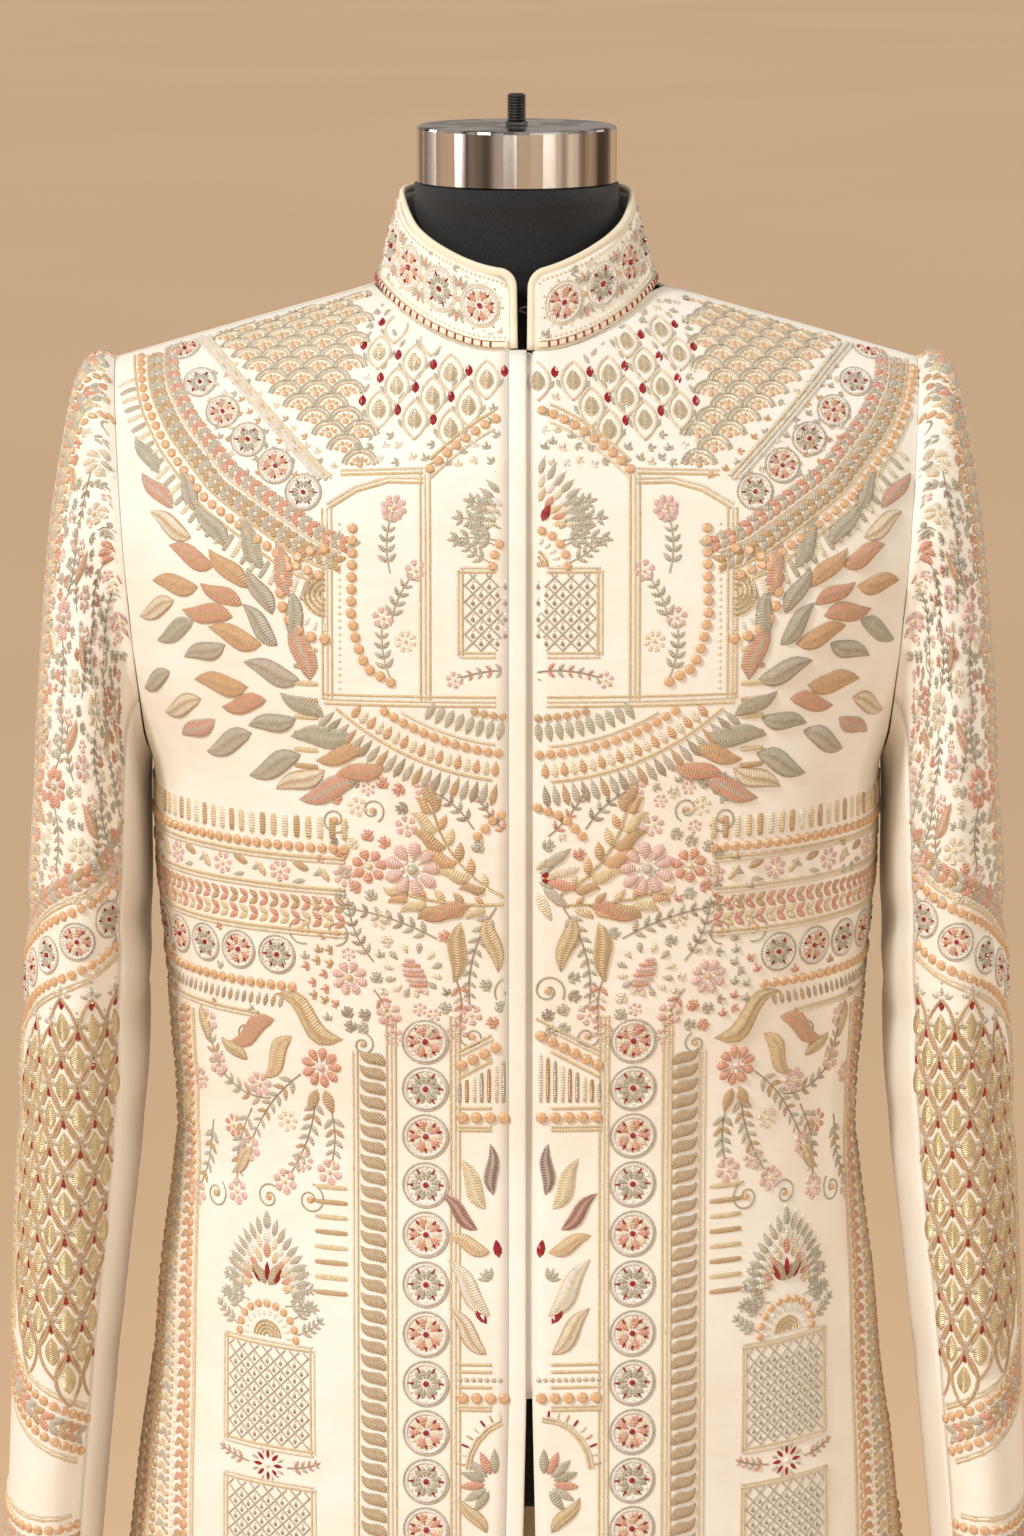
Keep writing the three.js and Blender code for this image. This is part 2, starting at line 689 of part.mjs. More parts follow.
function addForm() {
  const heights = [
    795, 803, 818, 850, 900, 950, 1000, 1060, 1130, 1194, 1225, 1270, 1320, 1365,
    1392, 1408, 1420, 1430, 1440, 1448, 1454, 1460, 1468, 1490, FORM.neckTopZ,
  ];
  add("form_torso", loft(heights.map((z) => formRing(z, 32))), jersey);
  const { radius, low, high } = CAP;
  add(
    "neck_cap",
    turned(
      [
        { r: 0, z: low },
        { r: radius - 0.8, z: low },
        { r: radius, z: low + 0.8 },
        { r: radius, z: high - 1.6 },
        { r: radius - 0.5, z: high - 0.5 },
        { r: radius - 1.6, z: high },
        { r: 0, z: high },
      ],
      48,
    ),
    chrome,
  );
  const washer = { radius: 6.4, height: 1.6 };
  add(
    "stud_washer",
    turned(
      [
        { r: 0, z: high + 0.3 },
        { r: washer.radius, z: high + 0.3 },
        { r: washer.radius, z: high + 0.3 + washer.height },
        { r: 0, z: high + 0.3 + washer.height },
      ],
      18,
    ),
    steel,
  );
  const foot = high + 0.6 + washer.height;
  const thread = [{ r: 0, z: foot }];
  const turns = Math.floor(STUD.height / STUD.pitch);
  for (let i = 0; i < turns; i += 1) {
    const z = foot + i * STUD.pitch;
    thread.push({ r: STUD.radius, z });
    thread.push({ r: STUD.radius + STUD.thread, z: z + STUD.pitch / 2 });
  }
  const crown = foot + turns * STUD.pitch;
  thread.push({ r: STUD.radius, z: crown }, { r: STUD.radius - 1, z: crown + 0.6 }, { r: 0, z: crown + 0.6 });
  add("cap_stud", turned(thread, 14), steel);
}

function addStand() {
  const { radius, height, hubRadius, hubHeight } = BASE;
  add(
    "stand_base",
    turned(
      [
        { r: 0, z: 0 },
        { r: radius - 2, z: 0 },
        { r: radius, z: 2 },
        { r: radius, z: height - 5 },
        { r: radius - 1.5, z: height - 1.5 },
        { r: radius - 5, z: height },
        { r: hubRadius + 6, z: height + 1.5 },
        { r: hubRadius + 1, z: height + 5 },
        { r: hubRadius, z: height + 10 },
        { r: hubRadius - 4, z: hubHeight - 2 },
        { r: hubRadius - 7, z: hubHeight },
        { r: 0, z: hubHeight },
      ],
      40,
    ),
    paint,
  );
  const plate = { radius: 48, height: 8 };
  const plateLow = FORM.bottomZ - 2 * HALF_GAP - plate.height;
  const poleLength = plateLow - hubHeight - 4 * HALF_GAP;
  const pole = add("stand_pole", new THREE.CylinderGeometry(POLE_RADIUS, POLE_RADIUS, poleLength, 28), chrome);
  pole.rotation.x = Math.PI / 2;
  pole.position.z = hubHeight + 2 * HALF_GAP + poleLength / 2;
  const disc = add("form_plate", new THREE.CylinderGeometry(plate.radius, plate.radius, plate.height, 40), paint);
  disc.rotation.x = Math.PI / 2;
  disc.position.z = plateLow + plate.height / 2;
}

addBody();
addClosing();
addSleeve(1, "left");
addSleeve(-1, "right");
addCollar();
addHook();
addForm();
addStand();

export default group;
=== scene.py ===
"""An ivory silk sherwani with dense raised embroidery, worn by a limbless dress form on a round-footed stand.

Lengths are in millimetres until a mesh is made. The coat faces -Y and the wearer's left is +X.
Every cloth shell and every stitch on it is placed from the same three surfaces: body, sleeve and collar.
"""

import math

import bpy
import mathutils
import numpy as np
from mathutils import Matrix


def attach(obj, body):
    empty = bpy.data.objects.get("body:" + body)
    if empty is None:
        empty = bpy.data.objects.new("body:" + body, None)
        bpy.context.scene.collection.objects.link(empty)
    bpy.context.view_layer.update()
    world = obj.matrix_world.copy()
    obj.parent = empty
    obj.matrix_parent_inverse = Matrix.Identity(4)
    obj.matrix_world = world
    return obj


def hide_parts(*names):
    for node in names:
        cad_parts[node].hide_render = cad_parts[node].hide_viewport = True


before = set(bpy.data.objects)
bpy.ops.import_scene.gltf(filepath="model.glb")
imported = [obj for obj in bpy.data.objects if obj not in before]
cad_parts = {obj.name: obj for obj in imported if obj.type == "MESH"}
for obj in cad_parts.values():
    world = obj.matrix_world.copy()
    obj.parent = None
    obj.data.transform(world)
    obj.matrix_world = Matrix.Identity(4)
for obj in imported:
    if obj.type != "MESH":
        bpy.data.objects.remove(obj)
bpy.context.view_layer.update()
MM = 0.001
TAU = 2 * math.pi
RNG = np.random.default_rng(40)

# ---------------------------------------------------------------- the garment's sizes
WALL = 2.0
HALF_GAP = 0.06
HEM_Z, ARMPIT_Z, SHOULDER_Z = 390.0, 1195.0, 1418.0
ARMHOLE_BOTTOM_X, ARMHOLE_TOP_X = 203.3, 220.6
FRONT_EDGE_X = 8.7
PLACKET_SEAM_X, PLACKET_EDGE_X = -4.2, 5.3
UNDERLAP_X = (-6.0, 16.0)
SLIT_TOP_Z, SLIT_WIDENING = 858.0, 0.045
PATTERN_X = 7.0  # the embroidery of the two fronts mirrors about this line

NECK = {"half": 76.5, "front": 88.0, "back": 72.0}
COLLAR_TOP = {"half": 63.5, "front": 73.0, "back": 60.0}
COLLAR_GAP = (0.4, 5.6)
PIPING_WIDTH, PIPING_CORNER, PIPING_GAP = 4.0, 7.0, 0.3
COLLAR_LIFT = 0.3
SHOULDER_ROUND = {"front": 125.0, "back": 110.0}
FLUTE_FROM_Z, FLUTE_DEPTH, FLUTE_COUNT = 820.0, 7.0, 9

# z, half width, front depth, back depth, squareness
BODY = np.array([
    (390, 268, 176, 184, 2.0), (520, 252, 165, 171, 2.0), (640, 236, 155, 161, 2.05),
    (730, 223, 147, 153, 2.1), (800, 214.5, 141, 147, 2.15), (842, 208, 137, 143, 2.2),
    (900, 202.5, 130, 136, 2.2), (957, 194.5, 121, 126, 2.25), (993, 191.8, 117, 120, 2.3),
    (1031, 194, 118, 118, 2.3), (1076, 196.5, 122, 119, 2.35), (1131, 201, 127, 123, 2.4),
    (1165, 202.6, 130, 126, 2.4), (1195, 203.3, 132, 128, 2.4), (1222, 213, 133, 130, 2.4),
    (1256, 226, 134, 131, 2.4), (1300, 237, 131, 133, 2.4), (1350, 242, 124, 132, 2.4),
    (1412, 246, 112, 126, 2.4), (1490, 248, 100, 116, 2.4),
])
COLUMN = {"half": 1, "front": 2, "back": 3, "power": 4}
# x, height of the shoulder seam
RIDGE = np.array([(0, 1484), (40, 1473), (77, 1459), (120, 1446.5), (170, 1432.5), (221, 1418)], float)
# outermost x and z, innermost x and z, half depth, middle y
SLEEVE = np.array([
    (220.9, 1417.8, 203.5, 1195, 62, 2), (227.5, 1420.5, 204.1, 1193, 64, 2),
    (234.5, 1418.5, 204.6, 1190, 66, 2), (241, 1409, 205, 1186, 69, 1),
    (247, 1386, 205.2, 1181, 73, 1), (256.5, 1331, 205.4, 1172, 79, 0),
    (262, 1275, 205.4, 1160, 84, -1), (267, 1210, 205.4, 1144, 87, -2),
    (270.8, 1150, 205.4, 1121, 88, -3), (276, 1083, 206.4, 1073, 86, -5),
    (280.5, 1000, 210.2, 997, 81, -9), (285.5, 898, 222, 897, 74, -15),
    (289.5, 806, 232, 806, 67, -21), (294, 722, 240, 722, 61, -27),
])
SLEEVE_SEAM = math.radians(130)
ARMHOLE_FADE = 5
# angle from the middle front in degrees, height of the collar's top edge
COLLAR_EDGE = np.array([
    (0, 1471), (21, 1477), (42, 1485.5), (64, 1495.5), (90, 1509), (130, 1511.5), (180, 1511),
], float)


# ---------------------------------------------------------------- surfaces
def smooth(keys, values, at):
    """Catmull-Rom through table rows, held flat past its ends."""
    at = np.asarray(at, float)
    last = len(keys) - 1
    i = np.clip(np.searchsorted(keys, at, side="right") - 1, 0, last - 1)
    a, b = keys[i], keys[i + 1]
    span = b - a
    t = np.clip((at - a) / span, 0, 1)
    before, after = np.maximum(i - 1, 0), np.minimum(i + 2, last)
    slope_a = (values[i + 1] - values[before]) / (b - keys[before]) * span
    slope_b = (values[after] - values[i]) / (keys[after] - a) * span
    t2, t3 = t * t, t * t * t
    return (
        (2 * t3 - 3 * t2 + 1) * values[i]
        + (t3 - 2 * t2 + t) * slope_a
        + (3 * t2 - 2 * t3) * values[i + 1]
        + (t3 - t2) * slope_b
    )


def body(name, z):
    return smooth(BODY[:, 0], BODY[:, COLUMN[name]], z)


def ridge_z(x):
    return smooth(RIDGE[:, 0], RIDGE[:, 1], np.abs(x))


def armhole_x(z):
    share = (np.asarray(z) - ARMPIT_Z) / (SHOULDER_Z - ARMPIT_Z)
    return ARMHOLE_BOTTOM_X + (ARMHOLE_TOP_X - ARMHOLE_BOTTOM_X) * share


def side_x(z):
    return np.where(np.asarray(z) < ARMPIT_Z, body("half", z), armhole_x(z))


def parted(z):
    return np.maximum(0, SLIT_TOP_Z - np.asarray(z)) * SLIT_WIDENING / 2


def body_depth(side, x, z):
    """How far the body surface lies in front of or behind the side plane."""
    x, z = np.abs(x), np.asarray(z, float)
    power = body("power", z)
    across = np.maximum(0, 1 - (x / body("half", z)) ** power) ** (1 / power)
    rest = 1 - np.clip((ridge_z(x) - z) / SHOULDER_ROUND[side], 0, 1)
    return body(side, z) * across * np.sqrt(np.maximum(0, 1 - rest * rest))


def neck_z(side, x):
    wanted = NECK[side] * np.sqrt(np.maximum(0, 1 - (np.asarray(x) / NECK["half"]) ** 2))
    low = np.full(np.shape(x), SHOULDER_Z - 60.0)
    high = ridge_z(x)
    for _ in range(24):
        z = (low + high) / 2
        deeper = body_depth(side, x, z) > wanted
        low, high = np.where(deeper, z, low), np.where(deeper, high, z)
    return high


def top_z(side, x):
    return np.where(np.abs(x) < NECK["half"], neck_z(side, np.abs(x)), ridge_z(x))


def flute(points):
    """Moves points of the skirt out and in, in soft flutes that grow towards the hem."""
    x, y, z = points[..., 0], points[..., 1], points[..., 2]
    drop = np.clip((FLUTE_FROM_Z - z) / (FLUTE_FROM_Z - HEM_Z), 0, 1)
    deep = np.where(y < 0, body("front", z), body("back", z))
    out_x, out_y = x / body("half", z), y / deep
    size = np.maximum(np.hypot(out_x, out_y), 1e-9)
    wave = np.cos(FLUTE_COUNT * np.arctan2(out_x, -out_y)) * FLUTE_DEPTH * drop * drop
    return np.stack([x + out_x / size * wave, y + out_y / size * wave, z], -1)


def body_surface(side, x, z):
    y = body_depth(side, x, z) * (-1 if side == "front" else 1)
    return flute(np.stack([x + 0 * y, y, z + 0 * y], -1))


def armhole_point(angle):
    z = (SHOULDER_Z + ARMPIT_Z) / 2 + ((SHOULDER_Z - ARMPIT_Z) / 2 - 0.2) * np.cos(angle)
    x = armhole_x(z) + HALF_GAP
    front = np.sin(angle) >= 0
    y = np.where(front, -body_depth("front", x, z), body_depth("back", x, z))
    return np.stack([x, y, z], -1)


def sleeve_ring(row, angle):
    rows = np.arange(len(SLEEVE), dtype=float)
    out_x, out_z, in_x, in_z, deep, mid = (smooth(rows, SLEEVE[:, k], row) for k in range(6))
    reach = np.cos(angle) / 2
    x = (out_x + in_x) / 2 + (out_x - in_x) * reach
    z = (out_z + in_z) / 2 + (out_z - in_z) * reach
    return np.stack([x, mid - deep * np.sin(angle) + 0 * x, z], -1)


def sleeve_surface(angle, row):
    """The left sleeve: angle from the outermost line round the front, row down from the armhole."""
    angle, row = np.broadcast_arrays(np.asarray(angle, float), np.asarray(row, float))
    fade = np.clip(1 - row / ARMHOLE_FADE, 0, 1)
    blend = (fade * fade * (3 - 2 * fade))[..., None]
    start = armhole_point(angle) - sleeve_ring(0 * row, angle)
    return sleeve_ring(row, angle) + start * blend


def ring_point(ring, angle):
    deep = np.where(np.cos(angle) > 0, ring["front"], ring["back"])
    return np.stack([ring["half"] * np.sin(angle), -deep * np.cos(angle), 0 * angle], -1)


def collar_ends(ring):
    left = COLLAR_GAP[1] + PIPING_WIDTH + PIPING_GAP
    right = COLLAR_GAP[0] - PIPING_WIDTH - PIPING_GAP
    return math.asin(left / ring["half"]), TAU + math.asin(right / ring["half"])


COLLAR_LENGTH = math.pi * (NECK["half"] + COLLAR_TOP["half"]) * 1.02


def collar_edges(distance):
    """Points on the collar's base ring and top ring."""
    along = np.asarray(distance, float) / COLLAR_LENGTH
    first, last = collar_ends(NECK)
    base = ring_point(NECK, first + (last - first) * along)
    front = base[..., 1] < 0
    base[..., 2] = COLLAR_LIFT + np.where(
        front, neck_z("front", base[..., 0]), neck_z("back", base[..., 0])
    )
    first, last = collar_ends(COLLAR_TOP)
    angle = first + (last - first) * along
    top = ring_point(COLLAR_TOP, angle)
    turn = np.degrees(np.arccos(np.clip(np.cos(angle), -1, 1)))
    top[..., 2] = smooth(COLLAR_EDGE[:, 0], COLLAR_EDGE[:, 1], turn)
    return base, top


def collar_surface(distance, height):
    base, top = collar_edges(distance)
    up = top - base
    return base + up / np.linalg.norm(up, axis=-1, keepdims=True) * np.asarray(height)[..., None]


def collar_reach(distance):
    base, top = collar_edges(distance)
    return np.linalg.norm(top - base, axis=-1) - PIPING_WIDTH - PIPING_GAP


def collar_height(distance):
    near = np.minimum(distance, COLLAR_LENGTH - distance)
    into = np.clip(PIPING_CORNER - near, 0, PIPING_CORNER)
    return collar_reach(distance) - (PIPING_CORNER - np.sqrt(PIPING_CORNER**2 - into**2))


# ---------------------------------------------------------------- creases
# Soft troughs in the cloth: plane, x or y and z of each end, half width, depth. The other side mirrors them.
CREASES = [
    ("front", (196, 1290), (150, 1225), 15, 2.6),
    ("front", (200, 1250), (168, 1188), 11, 2.0),
    ("front", (190, 1180), (120, 1120), 17, 1.6),
    ("front", (192, 1020), (135, 1004), 12, 1.8),
    ("front", (193, 985), (150, 962), 10, 1.5),
    ("front", (120, 820), (150, 560), 26, 3.0),
    ("front", (60, 700), (72, 420), 24, 2.5),
    ("back", (198, 1280), (140, 1210), 15, 2.4),
    ("back", (196, 1235), (150, 1170), 12, 1.8),
    ("back", (190, 1010), (110, 996), 13, 2.2),
    ("back", (188, 978), (130, 962), 10, 1.5),
    ("back", (95, 840), (120, 520), 26, 3.2),
    ("back", (30, 760), (26, 430), 24, 2.4),
    ("sleeve", (-70, 1118), (15, 1096), 12, 3.0),
    ("sleeve", (-78, 1062), (-5, 1048), 10, 2.4),
    ("sleeve", (60, 1082), (-8, 1060), 11, 2.2),
    ("sleeve", (-72, 1000), (0, 988), 12, 1.9),
    ("sleeve", (-60, 1225), (-20, 1180), 12, 1.8),
    ("sleeve", (-66, 862), (-10, 850), 11, 1.5),
]


def crease_depth(place, points):
    """How far the creases push these points in."""
    first = points[..., 1] if place == "sleeve" else np.abs(points[..., 0])
    z = points[..., 2]
    total = np.zeros(first.shape)
    for plane, (a, az), (b, bz), width, depth in CREASES:
        if plane != place:
            continue
        length2 = (b - a) ** 2 + (bz - az) ** 2
        along = np.clip(((first - a) * (b - a) + (z - az) * (bz - az)) / length2, 0, 1)
        gap = np.hypot(first - a - along * (b - a), z - az - along * (bz - az))
        total += depth * np.exp(-((gap / width) ** 2)) * np.sin(math.pi * (0.12 + 0.76 * along))
    return total


def grid_normals(points, toward):
    """Unit normals of a grid of points, turned to the side of `toward`."""
    down, across = np.gradient(points, axis=0), np.gradient(points, axis=1)
    normal = np.cross(across, down)
    normal /= np.maximum(np.linalg.norm(normal, axis=-1, keepdims=True), 1e-9)
    facing = (normal * toward).sum(-1, keepdims=True)
    return np.where(facing < 0, -normal, normal)


def outward(points, place):
    """A rough direction away from the inside of the body or the sleeve."""
    if place == "sleeve":
        middle_x = np.interp(points[..., 2], [700, 1000, 1150, 1420], [267, 245, 238, 215])
        middle_y = np.interp(points[..., 2], [700, 1000, 1150], [-27, -9, 0])
        lift = np.maximum(0, points[..., 2] - 1290)
        return np.stack([points[..., 0] - middle_x, points[..., 1] - middle_y, lift], -1)
    lift = 0.001 + np.maximum(0, points[..., 2] - ARMPIT_Z)
    return np.stack([points[..., 0], points[..., 1], lift], -1)


def settled(points, place):
    """The grid with its creases pressed in, and its normals."""
    normals = grid_normals(points, outward(points, place))
    points = points - normals * crease_depth(place, points)[..., None]
    return points, grid_normals(points, outward(points, place))


# ---------------------------------------------------------------- charts
class Chart:
    """A surface laid flat: s across and t up, both in millimetres along the cloth."""

    STEP = 3.0

    def __init__(self, points, valid, place, zero_row, zero_column=0):
        """points[row, column], with rows upward. s is 0 on zero_column and t on zero_row."""
        across = np.linalg.norm(np.diff(points, axis=1), axis=-1)
        s = np.concatenate([np.zeros((len(points), 1)), np.cumsum(across, 1)], 1)
        s -= s[:, [zero_column]]
        self.s = np.arange(math.floor(s[:, 0].min()), s[:, -1].max() + self.STEP, self.STEP)
        even = np.empty((len(points), len(self.s), 3))
        inside = np.empty((len(points), len(self.s)))
        for k in range(len(points)):
            for c in range(3):
                even[k, :, c] = np.interp(self.s, s[k], points[k, :, c])
            ends = np.interp(self.s, s[k], valid[k].astype(float), left=0, right=0)
            inside[k] = ends * (self.s >= s[k, 0]) * (self.s <= s[k, -1])
        up = np.linalg.norm(np.diff(even, axis=0), axis=-1)
        t = np.concatenate([np.zeros((1, len(self.s))), np.cumsum(up, 0)], 0)
        t -= t[[zero_row]]
        self.t = np.arange(math.floor(t[0].min()), t[-1].max() + self.STEP, self.STEP)
        shape = (len(self.t), len(self.s))
        self.points = np.empty((*shape, 3))
        self.inside = np.empty(shape)
        for i in range(len(self.s)):
            for c in range(3):
                self.points[:, i, c] = np.interp(self.t, t[:, i], even[:, i, c])
            self.inside[:, i] = np.interp(self.t, t[:, i], inside[:, i], left=0, right=0)
        self.normals = grid_normals(self.points, outward(self.points, place))

    def sample(self, values, s, t):
        """Bilinear values at (s, t)."""
        u = np.clip((np.asarray(s) - self.s[0]) / self.STEP, 0, len(self.s) - 1.001)
        v = np.clip((np.asarray(t) - self.t[0]) / self.STEP, 0, len(self.t) - 1.001)
        i, j = u.astype(int), v.astype(int)
        u, v = u - i, v - j
        if values.ndim == 3:
            u, v = u[..., None], v[..., None]
        low = values[j, i] * (1 - u) + values[j, i + 1] * u
        high = values[j + 1, i] * (1 - u) + values[j + 1, i + 1] * u
        return low * (1 - v) + high * v

    def find(self, places, plane=(0, 2)):
        """The (s, t) of places given as two of x, y, z."""
        places = np.atleast_2d(np.asarray(places, float))
        flat = self.points[..., list(plane)]
        found = []
        for place in places:
            gap = ((flat - place) ** 2).sum(-1) + (self.inside < 0.99) * 1e6
            j, i = np.unravel_index(np.argmin(gap), gap.shape)
            j, i = min(max(j, 1), len(self.t) - 2), min(max(i, 1), len(self.s) - 2)
            du = (flat[j, i + 1] - flat[j, i - 1]) / (2 * self.STEP)
            dv = (flat[j + 1, i] - flat[j - 1, i]) / (2 * self.STEP)
            matrix = np.stack([du, dv], 1)
            step = np.zeros(2)
            if abs(np.linalg.det(matrix)) > 0.15:
                step = np.clip(np.linalg.solve(matrix, place - flat[j, i]), -self.STEP, self.STEP)
            found.append((self.s[i] + step[0], self.t[j] + step[1]))
        return np.array(found)


def body_chart(side):
    z = np.concatenate([np.arange(HEM_Z, 1380, 6.0), np.arange(1380, 1483.5, 1.5)])
    ridge_x = np.interp(-z, -RIDGE[:, 1], RIDGE[:, 0], left=0, right=400)
    widest = np.minimum(side_x(z), ridge_x)
    share = np.sin(np.linspace(0, math.pi / 2, 90))
    x = widest[:, None] * share[None, :]
    height = z[:, None] + 0 * x
    points = body_surface(side, x, height)
    points, _ = settled(points, side)
    valid = height < top_z(side, x) - 0.5
    return Chart(points, valid, side, int(np.searchsorted(z, ARMPIT_Z)))


def sleeve_chart():
    angles = np.linspace(-SLEEVE_SEAM, SLEEVE_SEAM, 141)
    rows = np.linspace(len(SLEEVE) - 1, 0, 170)
    points = sleeve_surface(angles[None, :], rows[:, None])
    points, _ = settled(points, "sleeve")
    return Chart(points, np.ones(points.shape[:2], bool), "sleeve", 0, 70)


def collar_place(s, t):
    """Points and normals of the collar: s along it from the left front edge, t up from its base."""
    here = collar_surface(s, t)
    along = collar_surface(s + 0.5, t) - collar_surface(s - 0.5, t)
    up = collar_surface(s, t + 0.5) - collar_surface(s, t - 0.5)
    normal = np.cross(along, up)
    normal /= np.linalg.norm(normal, axis=-1, keepdims=True)
    away = np.where((normal[..., :2] * here[..., :2]).sum(-1, keepdims=True) < 0, -1, 1)
    return here, normal * away


# ---------------------------------------------------------------- colours and materials
def srgb(*values):
    return tuple(((v / 255 + 0.055) / 1.055) ** 2.4 if v > 10 else v / 255 / 12.92 for v in values)


TINTS = {
    "ivory": srgb(246, 239, 226), "cream": srgb(245, 231, 204), "pearl": srgb(248, 242, 231),
    "peach": srgb(227, 184, 140), "rose": srgb(227, 170, 143), "pink": srgb(236, 200, 189),
    "gold": srgb(234, 212, 170), "silver": srgb(205, 194, 174), "green": srgb(190, 183, 160),
    "sage": srgb(200, 195, 174), "mauve": srgb(160, 128, 120), "red": srgb(158, 8, 28),
    "tan": srgb(209, 176, 134), "grey": srgb(184, 167, 148), "zari": srgb(236, 216, 172),
}
TINT_NAMES = list(TINTS)
THREAD, BEAD, ZARI, GEM = range(4)
WAVES_PER_UNIT = 0.314  # a wave texture's scale for one ridge a unit


def material(name, colour, roughness, **values):
    """A material with a principled shader. Extra values are its sockets, with _ for a space."""
    made = bpy.data.materials.new(name)
    made.use_nodes = True
    shader = made.node_tree.nodes["Principled BSDF"]
    shader.inputs["Base Color"].default_value = (*colour, 1)
    shader.inputs["Roughness"].default_value = roughness
    for socket, value in values.items():
        shader.inputs[socket.replace("_", " ")].default_value = value
    return made, made.node_tree, shader


def node(tree, kind, **values):
    made = tree.nodes.new(kind)
    for name, value in values.items():
        if hasattr(made, name):
            setattr(made, name, value)
        else:
            made.inputs[name.replace("_", " ")].default_value = value
    return made


def join(tree, out, socket):
    tree.links.new(out, socket)


def ramp(tree, factor, low, high, dark, light):
    """A colour ramp from dark at `low` to light at `high`."""
    made = tree.nodes.new("ShaderNodeValToRGB")
    made.color_ramp.elements[0].position = low
    made.color_ramp.elements[1].position = high
    made.color_ramp.elements[0].color = (*dark, 1)
    made.color_ramp.elements[1].color = (*light, 1)
    join(tree, factor, made.inputs["Fac"])
    return made.outputs["Color"]


def bump(tree, shader, layers):
    """Chained bumps from (height output, strength, distance in metres)."""
    normal = None
    for height, strength, distance in layers:
        made = node(tree, "ShaderNodeBump", Strength=strength, Distance=distance)
        join(tree, height, made.inputs["Height"])
        if normal is not None:
            join(tree, normal, made.inputs["Normal"])
        normal = made.outputs["Normal"]
    join(tree, normal, shader.inputs["Normal"])


def texture(tree, kind, stretch=None, **values):
    """A texture's strength over the object's own coordinates, scaled by `stretch` on x, y and z."""
    made = node(tree, f"ShaderNodeTex{kind}", **values)
    place = tree.nodes.new("ShaderNodeTexCoord").outputs["Object"]
    if stretch:
        mapping = node(tree, "ShaderNodeMapping")
        mapping.inputs["Scale"].default_value = stretch
        join(tree, place, mapping.inputs["Vector"])
        place = mapping.outputs["Vector"]
    join(tree, place, made.inputs["Vector"])
    return made.outputs["Fac"]


def silk_material(name, light, dark, ripple=0.35):
    """Plain woven silk: two thread directions, a slubby tone and the fine puckers that stitching leaves."""
    made, tree, shader = material(
        name, light, 0.52, Sheen_Weight=0.35, Sheen_Roughness=0.4, Specular_IOR_Level=0.42,
        Sheen_Tint=(1.0, 0.95, 0.86, 1),
    )
    slub = texture(tree, "Noise", Scale=24.0, Detail=5.0)
    join(tree, ramp(tree, slub, 0.3, 0.7, dark, light), shader.inputs["Base Color"])
    pucker = texture(tree, "Noise", (34, 34, 92), Scale=1.0, Detail=2.0)
    warp = texture(tree, "Wave", bands_direction="Z", Scale=560.0, Distortion=0.6)
    weft = texture(tree, "Wave", bands_direction="X", Scale=640.0, Distortion=0.6)
    bump(tree, shader, [(pucker, ripple, 0.0022), (warp, 0.12, 0.0002), (weft, 0.12, 0.0002)])
    return made


def stitch_material(name, roughness, period, depth, **values):
    """Thread, bead or metal: its colour is each stitch's own, and fine ridges run across each one."""
    made, tree, shader = material(name, (0.8, 0.7, 0.6), roughness, **values)
    tint = node(tree, "ShaderNodeAttribute", attribute_name="tint")
    noise = texture(tree, "Noise", Scale=420.0, Detail=2.0)
    mix = node(tree, "ShaderNodeMix", data_type="RGBA", blend_type="MULTIPLY")
    mix.inputs["Factor"].default_value = 1.0
    join(tree, tint.outputs["Color"], mix.inputs["A"])
    join(tree, ramp(tree, noise, 0.25, 0.75, (0.8, 0.79, 0.78), (1.04, 1.04, 1.04)), mix.inputs["B"])
    join(tree, mix.outputs["Result"], shader.inputs["Base Color"])
    if period:
        along = node(tree, "ShaderNodeAttribute", attribute_name="thread")
        scale = WAVES_PER_UNIT / period
        wave = node(tree, "ShaderNodeTexWave", bands_direction="DIAGONAL", Scale=scale, Distortion=0.4)
        join(tree, along.outputs["Vector"], wave.inputs["Vector"])
        bump(tree, shader, [(wave.outputs["Fac"], 0.75, depth)])
    return made


def jersey_material():
    made, tree, shader = material(
        "black_jersey", srgb(22, 22, 24), 0.86, Sheen_Weight=0.25, Sheen_Tint=(0.5, 0.5, 0.52, 1)
    )
    rib = texture(tree, "Wave", bands_direction="X", Scale=420.0, Distortion=0.3)
    lint = texture(tree, "Noise", Scale=900.0, Detail=3.0)
    tone = ramp(tree, lint, 0.45, 0.8, srgb(17, 17, 19), srgb(38, 38, 41))
    join(tree, tone, shader.inputs["Base Color"])
    bump(tree, shader, [(rib, 0.2, 0.0003), (lint, 0.3, 0.0003)])
    return made


def metal_material(name, colour, roughness, scratch=0.04, streak=(4, 4, 900), bands=None):
    """Turned metal with faint streaks. bands is (scale, dark): broad dark bands painted into the base colour, a
    painted reflection of the dark parts of a bright room.
    """
    made, tree, shader = material(name, colour, roughness, Metallic=1.0)
    noise = texture(tree, "Noise", streak, Scale=1.0, Detail=4.0)
    spread = node(tree, "ShaderNodeMapRange")
    spread.inputs["To Min"].default_value = roughness * 0.75
    spread.inputs["To Max"].default_value = roughness * 1.6
    join(tree, noise, spread.inputs["Value"])
    join(tree, spread.outputs["Result"], shader.inputs["Roughness"])
    if bands:
        # painted reflection: dark bands mixed into the metal's base colour
        reflection_patch = texture(tree, "Noise", bands[0], Scale=1.0, Detail=2.0)
        join(tree, ramp(tree, reflection_patch, 0.44, 0.56, bands[1], colour), shader.inputs["Base Color"])
    bump(tree, shader, [(noise, scratch, 0.0004)])
    return made


def paint_material():
    made, tree, shader = material("stand_paint", srgb(30, 30, 32), 0.45, Coat_Weight=0.15)
    peel = texture(tree, "Noise", Scale=700.0, Detail=2.0)
    tone = ramp(tree, peel, 0.3, 0.8, srgb(24, 24, 26), srgb(42, 42, 45))
    join(tree, tone, shader.inputs["Base Color"])
    bump(tree, shader, [(peel, 0.25, 0.0004)])
    return made


